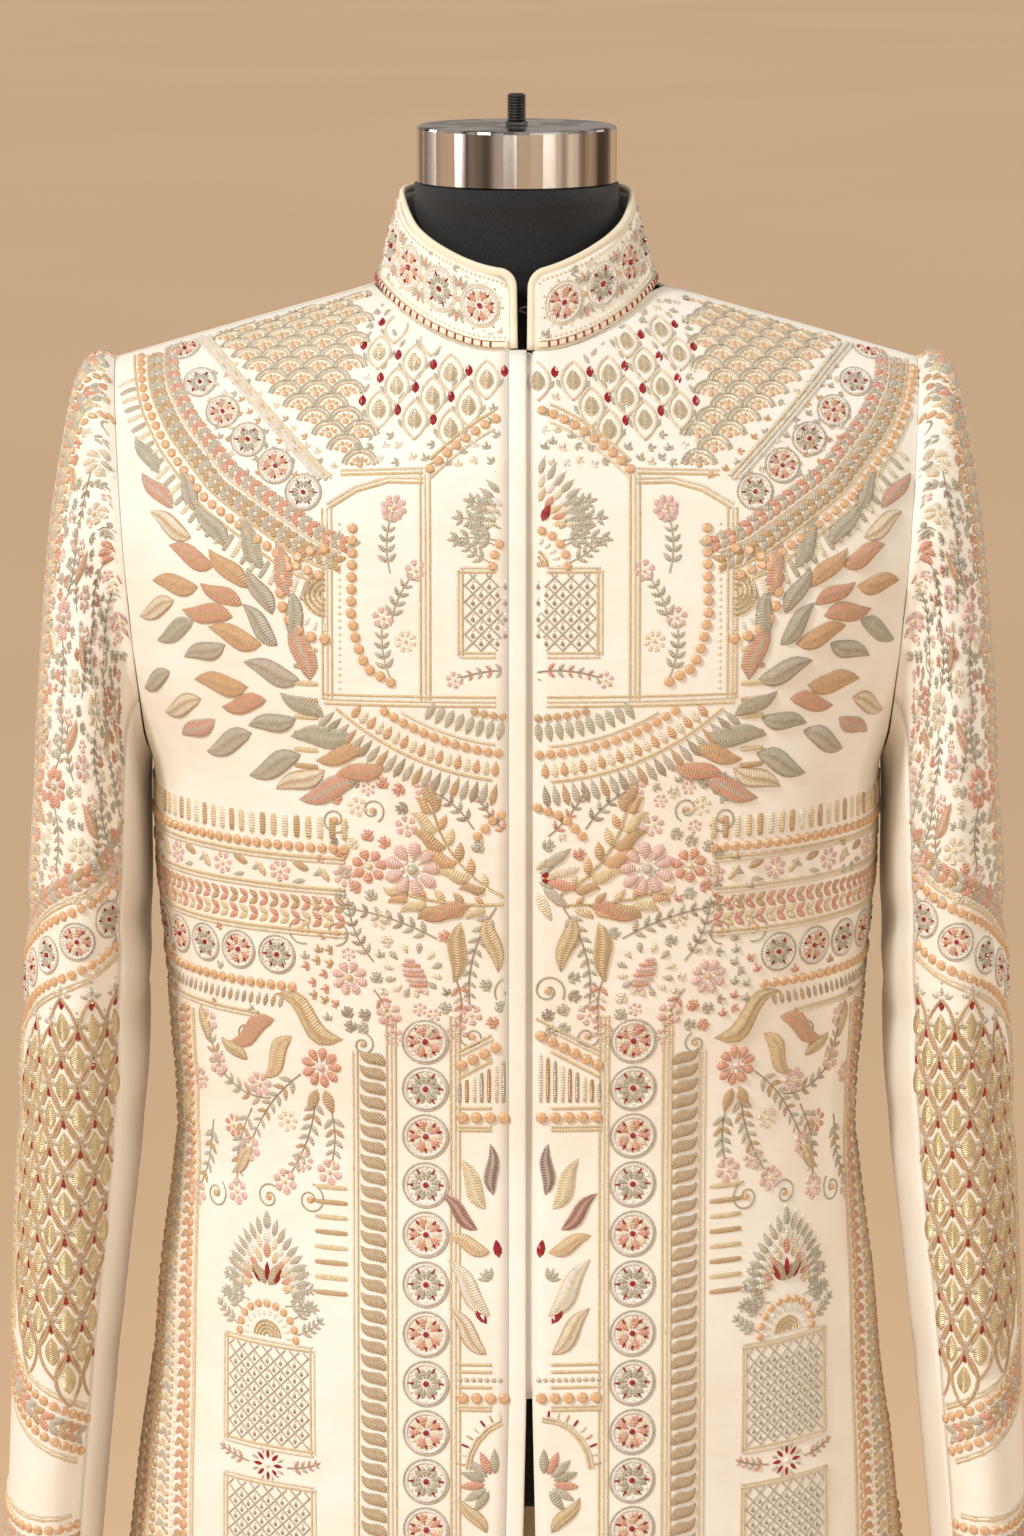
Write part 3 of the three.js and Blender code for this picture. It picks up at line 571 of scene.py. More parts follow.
SILK = silk_material("embroidered_silk", srgb(249, 244, 234), srgb(242, 234, 220))
PLAIN_SILK = silk_material("plain_silk", srgb(249, 245, 236), srgb(243, 236, 223), 0.14)
TRIM = silk_material("cord_trim", srgb(245, 235, 214), srgb(234, 220, 192), 0.1)
STITCHING = [
    stitch_material("satin_thread", 0.44, 0.75, 0.0005, Sheen_Weight=0.25, Specular_IOR_Level=0.55),
    stitch_material("lustre_bead", 0.26, 0, 0, Coat_Weight=0.35, Coat_Roughness=0.15, Specular_IOR_Level=0.6),
    stitch_material("zari_metal", 0.36, 0.6, 0.0006, Metallic=0.55),
    stitch_material("red_stone", 0.12, 0, 0, Coat_Weight=0.8, Coat_Roughness=0.05),
]
JERSEY = jersey_material()
# The chrome's broad dark bands are a painted reflection in its base colour.
CHROME = metal_material(
    "polished_chrome", srgb(226, 222, 220), 0.12, 0.03, (160, 160, 4), ((46, 46, 0.5), srgb(74, 66, 64))
)
STEEL = metal_material("dark_steel", srgb(92, 90, 88), 0.34, 0.1)
PAINT = paint_material()


# ---------------------------------------------------------------- meshes
def build_mesh(name, points, faces, materials, face_material=None, colours=None, threads=None, flat=None):
    """An object from points in millimetres and a list of triangle or quad arrays."""
    mesh = bpy.data.meshes.new(name)
    mesh.vertices.add(len(points))
    mesh.vertices.foreach_set("co", (points * MM).astype(np.float32).ravel())
    loops = np.concatenate([f.ravel() for f in faces]).astype(np.int32)
    sizes = np.concatenate([np.full(len(f), f.shape[1]) for f in faces])
    starts = np.concatenate([[0], np.cumsum(sizes)[:-1]]).astype(np.int32)
    mesh.loops.add(len(loops))
    mesh.loops.foreach_set("vertex_index", loops)
    mesh.polygons.add(len(starts))
    mesh.polygons.foreach_set("loop_start", starts)
    smooth_faces = np.ones(len(starts), bool) if flat is None else ~flat
    mesh.polygons.foreach_set("use_smooth", smooth_faces)
    for one in materials:
        mesh.materials.append(one)
    if face_material is not None:
        mesh.polygons.foreach_set("material_index", face_material.astype(np.int32))
    if colours is not None:
        layer = mesh.attributes.new("tint", "FLOAT_COLOR", "POINT")
        rgba = np.concatenate([colours, np.ones((len(colours), 1))], 1)
        layer.data.foreach_set("color", rgba.astype(np.float32).ravel())
    if threads is not None:
        layer = mesh.attributes.new("thread", "FLOAT_VECTOR", "POINT")
        layer.data.foreach_set("vector", threads.astype(np.float32).ravel())
    mesh.update(calc_edges=True)
    piece = bpy.data.objects.new(name, mesh)
    bpy.context.scene.collection.objects.link(piece)
    return piece


def shell_faces(rows, columns):
    """The quads of a wall's two sides and its rim, over two stacked grids of points."""
    grid = np.arange(rows * columns).reshape(rows, columns)
    inner = grid + rows * columns
    a, b, c, d = grid[:-1, :-1], grid[:-1, 1:], grid[1:, 1:], grid[1:, :-1]
    quads = [np.stack([a, b, c, d], -1).reshape(-1, 4)]
    shift = rows * columns
    quads.append(np.stack([a + shift, d + shift, c + shift, b + shift], -1).reshape(-1, 4))
    for edge, other in ((grid[0], inner[0]), (grid[-1][::-1], inner[-1][::-1]),
                        (grid[::-1, 0], inner[::-1, 0]), (grid[:, -1], inner[:, -1])):
        quads.append(np.stack([edge[:-1], other[:-1], other[1:], edge[1:]], -1))
    return np.concatenate(quads)


def shell(name, points, normals, materials, keep=None, outer=0.0, inner=-WALL):
    """A closed wall between two offsets from a grid of points."""
    sides = np.stack([points + normals * outer, points + normals * inner])
    if keep is not None:
        sides = keep(sides)
    faces = shell_faces(*points.shape[:2])
    flat = sides.reshape(-1, 3)
    return build_mesh(name, flat, facing_out(flat, [faces]), materials)


def facing_out(points, groups):
    """Arrays of faces, all turned round if the first one's faces look inward."""
    corner = points[groups[0][:, :3]]
    volume = (corner[:, 0] * np.cross(corner[:, 1], corner[:, 2])).sum()
    return [faces[:, ::-1] for faces in groups] if volume < 0 else groups


def tube(rings):
    """The grid of a tube's point numbers, the same one point further round, and its quads."""
    count, sides = rings.shape[:2]
    grid = np.arange(count * sides).reshape(count, sides)
    after = np.roll(grid, -1, axis=1)
    return grid, after, np.stack([grid[:-1], after[:-1], after[1:], grid[1:]], -1).reshape(-1, 4)


def enrol(piece, node_name):
    """Puts a piece on the one body, in place of a CAD node."""
    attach(piece, "root")
    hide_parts(node_name)


def mirrored(points):
    return points * np.array([-1.0, 1.0, 1.0])


# ---------------------------------------------------------------- stitches
BASE = -0.15  # a stitch's edge lies this far into the cloth
PROFILES = {
    "leaf": lambda p: np.sin(math.pi * p**0.85) ** 0.9,
    "petal": lambda p: np.sin(math.pi * p**1.5) ** 0.7,
    "bar": lambda p: 1 - 0.35 * abs(2 * p - 1) ** 6,
}
# Places across a blade: share of its half width, share of its height. Only RIMMED has an edge colour, on its
# outer rim and its vein.
VEINED = [(-1.0, 0.0), (-0.5, 0.95), (0.0, 0.55), (0.5, 0.95), (1.0, 0.0)]
ROUND = [(-1.0, 0.0), (0.0, 1.0), (1.0, 0.0)]
PADDED = [(-1.0, 0.0), (-0.45, 0.9), (0.45, 0.9), (1.0, 0.0)]
RIMMED = [
    (-1.0, 0.0), (-0.9, 0.5), (-0.7, 0.34), (-0.38, 1.0), (0.0, 0.6),
    (0.38, 1.0), (0.7, 0.34), (0.9, 0.5), (1.0, 0.0),
]
EVEN = {rows: np.linspace(0, 1, rows + 1)[1:-1] for rows in (4, 5, 6, 8)}
BLUNT = np.array([0.05, 0.3, 0.7, 0.95])


def blade_template(shape, along, section):
    """Points (along, across, height) from 0 to 1, triangles, and which points lie on the rim."""
    width = PROFILES[shape]
    points = [(0.0, 0.0, BASE)]
    rim = [True]
    for p in along:
        w = float(width(p))
        points += [(p, q * w, h * (0.35 + 0.65 * w) if h else BASE) for q, h in section]
        rim += [len(section) > 5 and (abs(q) > 0.8 or q == 0) for q, h in section]
    points.append((1.0, 0.0, BASE))
    k = len(section)
    faces = []
    for i in range(len(along) - 1):
        for j in range(k - 1):
            a = 1 + i * k + j
            faces += [(a, a + 1, a + k + 1), (a, a + k + 1, a + k)]
    last = len(points) - 1
    for j in range(k - 1):
        faces.append((0, 2 + j, 1 + j))
        faces.append((last, last - k + j, last - k + j + 1))
    return np.array(points), np.array(faces), np.array(rim + [True])


def seed_template():
    """The smallest leaf: six places round a raised middle."""
    rim = [(0.0, 0.0), (0.32, 1.0), (0.7, 0.8), (1.0, 0.0), (0.7, -0.8), (0.32, -1.0)]
    points = [(p, q, BASE) for p, q in rim] + [(0.45, 0.0, 1.0)]
    faces = [(i, (i + 1) % 6, 6) for i in range(6)]
    return np.array(points), np.array(faces), np.ones(7, bool)


TEMPLATES = {
    "leaf": blade_template("leaf", EVEN[6], VEINED),
    "rimmed": blade_template("leaf", EVEN[8], RIMMED),
    "leaflet": blade_template("leaf", EVEN[4], ROUND),
    "petal": blade_template("petal", EVEN[5], PADDED),
    "petalet": blade_template("petal", EVEN[4], ROUND),
    "bar": blade_template("bar", BLUNT, ROUND),
    "gem": blade_template("leaf", EVEN[4], ROUND),
    "seed": seed_template(),
}


def dome_template(sides, rings, crown=1.0):
    """A bead's top: rings of (radius, height), then its middle at the height `crown`."""
    turn = np.arange(sides) * TAU / sides
    points = [(r * math.cos(a), r * math.sin(a), h) for r, h in rings for a in turn]
    points.append((0, 0, crown))
    faces = []
    for i in range(len(rings) - 1):
        for j in range(sides):
            a, b = i * sides + j, i * sides + (j + 1) % sides
            faces += [(a, b, b + sides), (a, b + sides, a + sides)]
    low = (len(rings) - 1) * sides
    faces += [(low + j, low + (j + 1) % sides, len(points) - 1) for j in range(sides)]
    return np.array(points), np.array(faces)


DOMES = {
    "coin": dome_template(7, [(1.0, BASE), (0.82, 0.85), (0.46, 1.0)], 0.62),
    "large": dome_template(7, [(1.0, BASE), (0.8, 0.62)]),
    "small": dome_template(6, [(1.0, BASE), (0.72, 0.68)]),
}


def resampled(points, pitch):
    """Points every `pitch` along a path, and the path's angle at each."""
    points = np.asarray(points, float)
    lengths = np.concatenate([[0], np.cumsum(np.linalg.norm(np.diff(points, axis=0), axis=1))])
    count = max(1, int(round(lengths[-1] / pitch)))
    at = np.linspace(0, lengths[-1], count + 1)
    path = np.stack([np.interp(at, lengths, points[:, k]) for k in range(2)], 1)
    turn = np.gradient(path, axis=0)
    return path, np.arctan2(turn[:, 1], turn[:, 0])


class Stitches:
    """Embroidery laid flat, within a span (lowest s and t, highest s and t). All of it becomes one mesh."""

    CELL = 1.5

    def __init__(self, span):
        self.low = np.array([span[0], span[1]], float)
        size = np.array([span[2] - span[0], span[3] - span[1]]) / self.CELL
        self.taken = np.zeros(np.maximum(size.astype(int) + 2, 1), bool)
        self.blades = {name: [] for name in TEMPLATES}
        self.dots = {name: [] for name in DOMES}
        self.cords = []

    def mark(self, s, t, radius):
        i, j = ((np.array([s, t]) - self.low) / self.CELL).astype(int)
        k = int(math.ceil(radius / self.CELL))
        if i + k >= 0 and j + k >= 0:
            self.taken[max(i - k, 0) : i + k + 1, max(j - k, 0) : j + k + 1] = True

    def free(self, s, t, radius):
        i, j = ((np.array([s, t]) - self.low) / self.CELL).astype(int)
        k = int(math.ceil(radius / self.CELL))
        if i < k or j < k or i + k >= self.taken.shape[0] or j + k >= self.taken.shape[1]:
            return False
        return not self.taken[i - k : i + k + 1, j - k : j + k + 1].any()

    def blade(self, s, t, angle, length, width, tint, shape="leaf", height=0, bend=0.0, stuff=THREAD, edge=""):
        """A raised blade from its root at (s, t). bend is its bow as a share of its length."""
        height = height or min(2.6, 0.55 + 0.27 * width)
        tints = TINT_NAMES.index(tint), TINT_NAMES.index(edge or tint)
        row = (s, t, angle, length, width, height, bend, *tints, stuff)
        self.blades[shape].append(row)
        for share in (0.2, 0.5, 0.8):
            reach = length * share
            self.mark(s + math.cos(angle) * reach, t + math.sin(angle) * reach, width * 0.4)

    def dot(self, s, t, radius, tint, stuff=BEAD, height=0.8, shape=""):
        name = shape or ("large" if radius > 1.35 else "small")
        self.dots[name].append((s, t, radius, radius * height, TINT_NAMES.index(tint), stuff))
        self.mark(s, t, radius)

    def cord(self, points, width, tint, stuff=ZARI, step=3.5):
        path, _ = resampled(points, step)
        self.cords.append((path, width, TINT_NAMES.index(tint), stuff))
        for s, t in path:
            self.mark(s, t, width * 0.6)

    def arrays(self, inside):
        """Places (s, t, height), triangles, tints, thread places and stuff of all that `inside` keeps."""
        parts = []
        for name, rows in self.blades.items():
            if rows:
                parts.append(self.spread_blades(np.array(rows), *TEMPLATES[name], inside))
        for name, rows in self.dots.items():
            if rows:
                parts.append(self.spread_dots(np.array(rows), *DOMES[name], inside))
        parts += [self.spread_cord(*row, inside) for row in self.cords]
        parts = [part for part in parts if part is not None]
        count = 0
        faces = []
        for part in parts:
            faces.append(part[1] + count)
            count += len(part[0])
        places, tints, threads, stuff = (np.concatenate([p[k] for p in parts]) for k in (0, 2, 3, 4))
        return places, np.concatenate(faces), tints, threads, stuff

    @staticmethod
    def spread_blades(rows, shape, faces, rim, inside):
        s, t, angle, length = rows[:, :4].T
        tip_s, tip_t = s + np.cos(angle) * length, t + np.sin(angle) * length
        kept = inside(s, t) & inside(tip_s, tip_t)
        if not kept.any():
            return None
        s, t, angle, length, width, height, bend, tint, edge, stuff = rows[kept].T
        p, q, h = shape.T
        along = length[:, None] * p
        bow = bend[:, None] * length[:, None] * np.sin(TAU * p) * 0.8
        across = q * width[:, None] / 2 + bow
        c, d = np.cos(angle)[:, None], np.sin(angle)[:, None]
        places = np.stack(
            [
                s[:, None] + along * c - across * d,
                t[:, None] + along * d + across * c,
                np.where(h < 0, h, h * height[:, None]) + 0 * along,
            ],
            -1,
        )
        offset = np.arange(len(s))[:, None, None] * len(shape)
        threads = np.stack([along, 0.35 * np.abs(across - bow), 0 * along], -1)
        return (
            places.reshape(-1, 3),
            (faces[None] + offset).reshape(-1, 3),
            np.where(rim, edge[:, None], tint[:, None]).ravel(),
            threads.reshape(-1, 3),
            np.repeat(stuff, len(faces)),
        )

    @staticmethod
    def spread_dots(rows, shape, faces, inside):
        kept = inside(rows[:, 0], rows[:, 1])
        if not kept.any():
            return None
        s, t, radius, height, tint, stuff = rows[kept].T
        x, y, h = shape.T
        places = np.stack(
            [
                s[:, None] + x * radius[:, None],
                t[:, None] + y * radius[:, None],
                np.where(h < 0, h, h * height[:, None]) + 0 * radius[:, None],
            ],
            -1,
        )
        offset = np.arange(len(s))[:, None, None] * len(shape)
        return (
            places.reshape(-1, 3),
            (faces[None] + offset).reshape(-1, 3),
            np.repeat(tint, len(shape)),
            np.zeros((len(s) * len(shape), 3)),
            np.repeat(stuff, len(faces)),
        )

    @staticmethod
    def spread_cord(path, width, tint, stuff, inside):
        kept = inside(path[:, 0], path[:, 1])
        if kept.sum() < 2:
            return None
        turn = np.gradient(path, axis=0)
        turn /= np.maximum(np.linalg.norm(turn, axis=1, keepdims=True), 1e-9)
        side = np.stack([-turn[:, 1], turn[:, 0]], 1)
        q = np.array([-1, -0.5, 0.5, 1.0]) * width / 2
        h = np.array([BASE, width * 0.5, width * 0.5, BASE])
        flat = path[:, None, :] + side[:, None, :] * q[None, :, None]
        places = np.concatenate([flat, np.broadcast_to(h[None, :, None], (*flat.shape[:2], 1))], -1)
        lengths = np.concatenate([[0], np.cumsum(np.linalg.norm(np.diff(path, axis=0), axis=1))])
        far, wide = np.broadcast_arrays(lengths[:, None], 0.8 * q)
        threads = np.stack([far, wide, 0 * far], -1)
        grid = np.arange(len(path) * 4).reshape(-1, 4)
        a, b, c, d = grid[:-1, :-1], grid[:-1, 1:], grid[1:, 1:], grid[1:, :-1]
        quads = np.stack([np.stack([a, b, c], -1), np.stack([a, c, d], -1)], 2)
        quads = quads[kept[:-1] & kept[1:]]
        if not len(quads):
            return None
        faces = quads.reshape(-1, 3)
        used, faces = np.unique(faces, return_inverse=True)
        return (
            places.reshape(-1, 3)[used],
            faces.reshape(-1, 3),
            np.full(len(used), tint),
            threads.reshape(-1, 3)[used],
            np.full(len(faces.reshape(-1, 3)), stuff),
        )


def stitched(name, stitches, inside, place):
    """The mesh of some stitches. place(s, t) gives points and normals in the frame."""
    places, faces, tints, threads, stuff = stitches.arrays(inside)
    points, normals = place(places[:, 0], places[:, 1])
    points = points + normals * places[:, 2:]
    palette = np.array([TINTS[key] for key in TINT_NAMES])
    colours = palette[tints.astype(int)]
    corner = points[faces]
    normal = np.cross(corner[:, 1] - corner[:, 0], corner[:, 2] - corner[:, 0])
    facing = (normal * normals[faces[:, 0]]).sum(-1)
    faces = np.where(facing[:, None] < 0, faces[:, ::-1], faces)
    return build_mesh(name, points, [faces], STITCHING, stuff, colours, threads, stuff == GEM)


# ---------------------------------------------------------------- the coat's cloth
CLOTH = {}


def inner_edge(side, sign):
    """The x of a panel's inner edge at each height, as a distance from the middle."""
    if side == "back":
        return lambda z: HALF_GAP + 0 * z
    if sign > 0:
        return lambda z: FRONT_EDGE_X + parted(z)
    return lambda z: -PLACKET_SEAM_X + 2 * HALF_GAP + parted(z)


def panel_grid(side, inner, columns=42, low_rows=66, high_rows=36):
    spread = np.sin(np.linspace(0, math.pi / 2, columns))[None, :]
    low = np.linspace(HEM_Z, ARMPIT_Z, low_rows)[:, None] + 0 * spread
    low_x = inner(low) + (side_x(low) - inner(low)) * spread
    turn = np.sin(np.linspace(0, math.pi / 2, high_rows)[1:])[:, None]
    x = inner(low[-1:]) + (side_x(low[-1:]) - inner(low[-1:])) * spread + 0 * turn
    z = ARMPIT_Z + 0 * x
    for _ in range(14):
        z = ARMPIT_Z + (top_z(side, x) - ARMPIT_Z) * turn
        x = inner(z) + (side_x(z) - inner(z)) * spread
    return body_surface(side, np.concatenate([low_x, x]), np.concatenate([low, z]))


def keep_panel(side, inner):
    toward = -1 if side == "front" else 1

    def keep(points):
        points = points.copy()
        points[..., 0] = np.maximum(points[..., 0], inner(points[..., 2]))
        points[..., 1] = np.where(points[..., 1] * toward < HALF_GAP, toward * HALF_GAP, points[..., 1])
        limit = armhole_x(points[..., 2]) - HALF_GAP
        over = (points[..., 2] > ARMPIT_Z) & (points[..., 0] > limit)
        points[..., 0] = np.where(over, limit, points[..., 0])
        return points

    return keep


def keep_sleeve(points):
    points = points.copy()
    limit = armhole_x(points[..., 2]) + HALF_GAP
    short = (points[..., 2] > ARMPIT_Z) & (points[..., 0] < limit)
    points[..., 0] = np.where(short, limit, points[..., 0])
    return points


def cloth(name, points, normals, look, sign=1, keep=None, outer=0.0, inner=-WALL):
    """A shell that stands for the CAD node of the same name. sign -1 mirrors it to the wearer's right."""

    def kept(sides):
        sides = keep(sides) if keep else sides
        return sides if sign > 0 else mirrored(sides)

    CLOTH[name] = shell(f"cloth_{name}", points, normals, [look], kept, outer, inner)
    enrol(CLOTH[name], name)


def make_panels():
    for side in ("front", "back"):
        for sign, word in ((1, "left"), (-1, "right")):
            inner = inner_edge(side, sign)
            points, normals = settled(panel_grid(side, inner), side)
            keep = keep_panel(side, inner)
            cloth(f"{side}_{word}", points, normals, SILK, sign, keep)


def make_closing():
    neck = float(neck_z("front", 0.0)) - 0.4
    z = np.concatenate([np.linspace(HEM_Z, ARMPIT_Z, 66), np.linspace(ARMPIT_Z, neck, 36)[1:]])[:, None]
    across = np.linspace(0, 1, 7)[None, :]
    x = PLACKET_SEAM_X + (PLACKET_EDGE_X - PLACKET_SEAM_X) * across - parted(z)
    y = -body_depth("front", x, z)
    points = flute(np.stack([x, y, z + 0 * x], -1))
    forward = np.array([0.0, -1.0, 0.0])
    crown = 0.35 * np.sin(math.pi * across) ** 0.5
    normals = grid_normals(points, forward)
    cloth("placket_strip", points + normals * crown[..., None], normals, PLAIN_SILK)
    z = z[z[:, 0] > SLIT_TOP_Z]
    x = UNDERLAP_X[0] + (UNDERLAP_X[1] - UNDERLAP_X[0]) * across + 0 * z
    points = flute(np.stack([x, -body_depth("front", x, z), z + 0 * x], -1))
    normals = grid_normals(points, forward)
    cloth("underlap", points, normals, PLAIN_SILK, outer=-WALL - 1.1, inner=-WALL - 2.4)


def make_sleeves():
    gap = 0.003
    rows = np.linspace(0, len(SLEEVE) - 1, 92)[:, None]
    stretches = (
        ("top_sleeve", -SLEEVE_SEAM + gap, SLEEVE_SEAM - gap, 48, SILK, "embroidered_silk"),
        ("under_sleeve", SLEEVE_SEAM + gap, TAU - SLEEVE_SEAM - gap, 18, PLAIN_SILK, "plain_silk"),
    )
    for name, first, last, columns, look, slot in stretches:
        points, normals = settled(sleeve_surface(np.linspace(first, last, columns)[None, :], rows), "sleeve")
        for sign, word in ((1, "left"), (-1, "right")):
            cloth(f"{name}_{word}", points, normals, look, sign, keep_sleeve)


def collar_grid(distance, share):
    heights = share * collar_height(distance)
    points = collar_surface(distance + 0 * heights, heights)
    return points, grid_normals(points, points * np.array([1.0, 1.0, 0.0]))


def make_collar():
    corner = PIPING_CORNER * (1 - np.cos(np.linspace(0, math.pi / 2, 8)))
    middle = np.linspace(PIPING_CORNER, COLLAR_LENGTH - PIPING_CORNER, 110)[1:-1]
    distance = np.concatenate([corner, middle, COLLAR_LENGTH - corner[::-1]])[None, :]
    points, normals = collar_grid(distance, np.linspace(0, 1, 14)[:, None])
    cloth("collar", points, normals, SILK)
    band = distance[:, 2:-2]
    heights = np.linspace(1.2, 5.2, 7)[:, None]
    points = collar_surface(band + 0 * heights, heights + 0 * band)
    crown = 0.5 * np.sin(math.pi * np.linspace(0, 1, 7))[:, None, None] ** 0.7
    normals = grid_normals(points, points * np.array([1.0, 1.0, 0.0]))
    cloth("collar_base_trim", points + normals * crown, normals, TRIM, outer=1.0, inner=0.12)


PIPING_SIDES, PIPING_FLANGE, PIPING_THICKNESS = 12, 1.8, 3.0


def piping_path():
    """The piping's middle line as (distance, height) on the collar, from one front edge to the other."""
    off = PIPING_WIDTH / 2 + PIPING_GAP
    corner = PIPING_CORNER
    top = float(collar_reach(np.array(corner))) - corner
    path = [(-off, h) for h in np.linspace(0.8, top, 9)]
    for angle in np.linspace(0, math.pi / 2, 12)[1:]:
        path.append((corner - (corner + off) * math.cos(angle), top + (corner + off) * math.sin(angle)))
    for d in np.linspace(corner, COLLAR_LENGTH / 2, 70)[1:]:
        path.append((float(d), float(collar_reach(np.array(d))) + off))
    other = [(COLLAR_LENGTH - d, h) for d, h in path[:-1][::-1]]
    return np.array(path + other)


def make_piping():
    """The piping, with a narrow flange that reaches under the collar's edge."""
    path = piping_path()
    centre, out = collar_place(path[:, 0], path[:, 1])
    centre = centre - out * WALL / 2
    along = np.gradient(centre, axis=0)
    along /= np.linalg.norm(along, axis=1, keepdims=True)
    across = np.cross(out, along)
    turn = np.arange(PIPING_SIDES) * TAU / PIPING_SIDES
    reach = np.cos(turn) * PIPING_WIDTH / 2
    middle = collar_surface(np.array([COLLAR_LENGTH / 2]), np.array([20.0]))[0]
    half = len(centre) // 2
    inward = np.dot(across[half], middle - centre[half]) > 0
    reach[0 if inward else PIPING_SIDES // 2] += PIPING_FLANGE if inward else -PIPING_FLANGE
    rings = (
        centre[:, None, :]
        + across[:, None, :] * reach[None, :, None]
        + out[:, None, :] * (np.sin(turn) * PIPING_THICKNESS / 2)[None, :, None]
    )
    grid, _, quads = tube(rings)
    places = range(1, PIPING_SIDES - 1)
    first = np.array([[grid[0, 0], grid[0, i + 1], grid[0, i]] for i in places])
    last = np.array([[grid[-1, 0], grid[-1, i], grid[-1, i + 1]] for i in places])
    points = rings.reshape(-1, 3)
    piece = build_mesh("cloth_collar_piping", points, facing_out(points, [quads, first, last]), [TRIM])
    enrol(piece, "collar_piping")


FORM_GAP, FORM_RIDGE_GAP, FORM_ARM_GAP = 7.0, 4.0, 9.0
FORM_BOTTOM_Z, FORM_TOP_Z = 795.0, 1513.7
FORM_SIDES = 96
FORM_NECK = np.array([(1400, 60), (1470, 58.5), (1500, 56.5), (FORM_TOP_Z, 56)], float)


def form_depth(side, x, z):
    power = body("power", z)
    half, deep = body("half", z) - FORM_GAP, body(side, z) - FORM_GAP
    across = np.maximum(0, 1 - (np.abs(x) / half) ** power) ** (1 / power)
    rest = 1 - np.clip((ridge_z(x) - FORM_RIDGE_GAP - z) / SHOULDER_ROUND[side], 0, 1)
    return deep * across * np.sqrt(np.maximum(0, 1 - rest * rest))


def form_half(z):
    neck = float(smooth(FORM_NECK[:, 0], FORM_NECK[:, 1], z))
    if z < ARMPIT_Z:
        return float(body("half", z)) - FORM_GAP, neck
    low, high = 0.0, float(armhole_x(z)) - FORM_ARM_GAP
    if ridge_z(high) - FORM_RIDGE_GAP < z:
        for _ in range(30):
            x = (low + high) / 2
            low, high = (x, high) if ridge_z(x) - FORM_RIDGE_GAP > z else (low, x)
    return max(high, neck), neck


def make_form():
    """The jersey-covered form inside the coat: a closed torso without arms."""
    heights = np.concatenate([
        [795, 799, 803, 810, 818, 832], np.linspace(850, 1380, 34), np.linspace(1390, 1460, 24),
        np.linspace(1468, FORM_TOP_Z, 6),
    ])
    turn = np.arange(FORM_SIDES) * TAU / FORM_SIDES
    rings = []
    for z in heights:
        half, neck = form_half(float(z))
        x = half * np.sin(turn)
        front = np.cos(turn) > 0
        torso = np.where(front, form_depth("front", x, z), form_depth("back", x, z))
        round_neck = np.sqrt(np.maximum(0, neck * neck - x * x)) if z > ARMPIT_Z + 150 else 0 * x
        y = -np.sign(np.cos(turn)) * np.maximum(torso, round_neck)
        rise = min(1.0, 0.62 + (z - FORM_BOTTOM_Z) / 90)
        taper = math.sqrt(max(0.0, 1 - (1 - rise) ** 2))
        rings.append(np.stack([x * taper, y * taper, z + 0 * x], 1))
    rings = np.array(rings)
    grid, after, quads = tube(rings)
    sides, low, high = FORM_SIDES, grid.size, grid.size + 1
    caps = [np.stack([grid[0], np.roll(grid[0], 1), np.full(sides, low)], -1),
            np.stack([grid[-1], after[-1], np.full(sides, high)], -1)]
    points = np.concatenate([rings.reshape(-1, 3), [[0, 0, heights[0]], [0, 0, heights[-1]]]])
    piece = build_mesh("form_cover", points, facing_out(points, [quads, *caps]), [JERSEY])
    enrol(piece, "form_torso")


def dress_nodes():
    looks = {
        "neck_cap": CHROME, "stud_washer": STEEL, "cap_stud": STEEL,
        "stand_pole": CHROME, "stand_base": PAINT, "form_plate": PAINT,
        "collar_hook": STEEL, "collar_eye": STEEL,
    }
    for name, look in looks.items():
        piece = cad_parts[name]
        piece.data.materials.clear()
        piece.data.materials.append(look)


make_panels()
make_closing()
make_sleeves()
make_collar()
make_piping()
make_form()
dress_nodes()


# ---------------------------------------------------------------- motifs
UP = math.pi / 2
GOLD_CREAM, CREAM_GOLD, SILVER_SAGE = ("gold", "cream"), ("cream", "gold"), ("silver", "sage")
GOLD_CREAM_GOLD = ("gold", "cream", "gold")
SIDES = (1, -1)


def away(s, t, angle, reach):
    return s + math.cos(angle) * reach, t + math.sin(angle) * reach


def coin(w, s, t, radius, tint="peach"):
    w.dot(s, t, radius, tint, BEAD, 0.62, "coin")


def gem(w, s, t, angle, length, width, height):
    w.blade(s, t, angle, length, width, "red", "gem", height, stuff=GEM)


def beads(w, path, radius, pitch, tint):
    for s, t in resampled(path, pitch)[0]:
        w.dot(s, t, radius, tint)


def coins(w, path, radius=3.2, tint="peach"):
    """Round padded discs with a dimple, side by side along a path."""
    for s, t in resampled(path, radius * 2.2)[0]:
        coin(w, s, t, radius, tint)


def bars(w, path, length, width, pitch, tints, lean=0.0, shape="bar"):
    """Short raised bars across a path, leaning from square."""
    for k, ((s, t), angle) in enumerate(zip(*resampled(path, pitch))):
        heading = angle + UP + lean
        s, t = away(s, t, heading, -length / 2)
        w.blade(s, t, heading, length, width, tints[k % len(tints)], shape)


def braid(w, path, width, pitch, tints, lean=0.7):
    """A herringbone of small leaves on both sides of a path."""
    for k, ((s, t), angle) in enumerate(zip(*resampled(path, pitch))):
        for side in SIDES:
            w.blade(s, t, angle + side * lean, width * 0.86, width * 0.48, tints[k % len(tints)], "leaflet")


def edging(w, path, gap=2.5, tints=GOLD_CREAM, width=2.0):
    """Parallel couched cords along a path."""
    path, angles = resampled(path, 9.0)
    normal = np.stack([-np.sin(angles), np.cos(angles)], 1)
    for k, tint in enumerate(tints):
        w.cord(path + normal * gap * (k - (len(tints) - 1) / 2), width, tint, THREAD, 9.0)


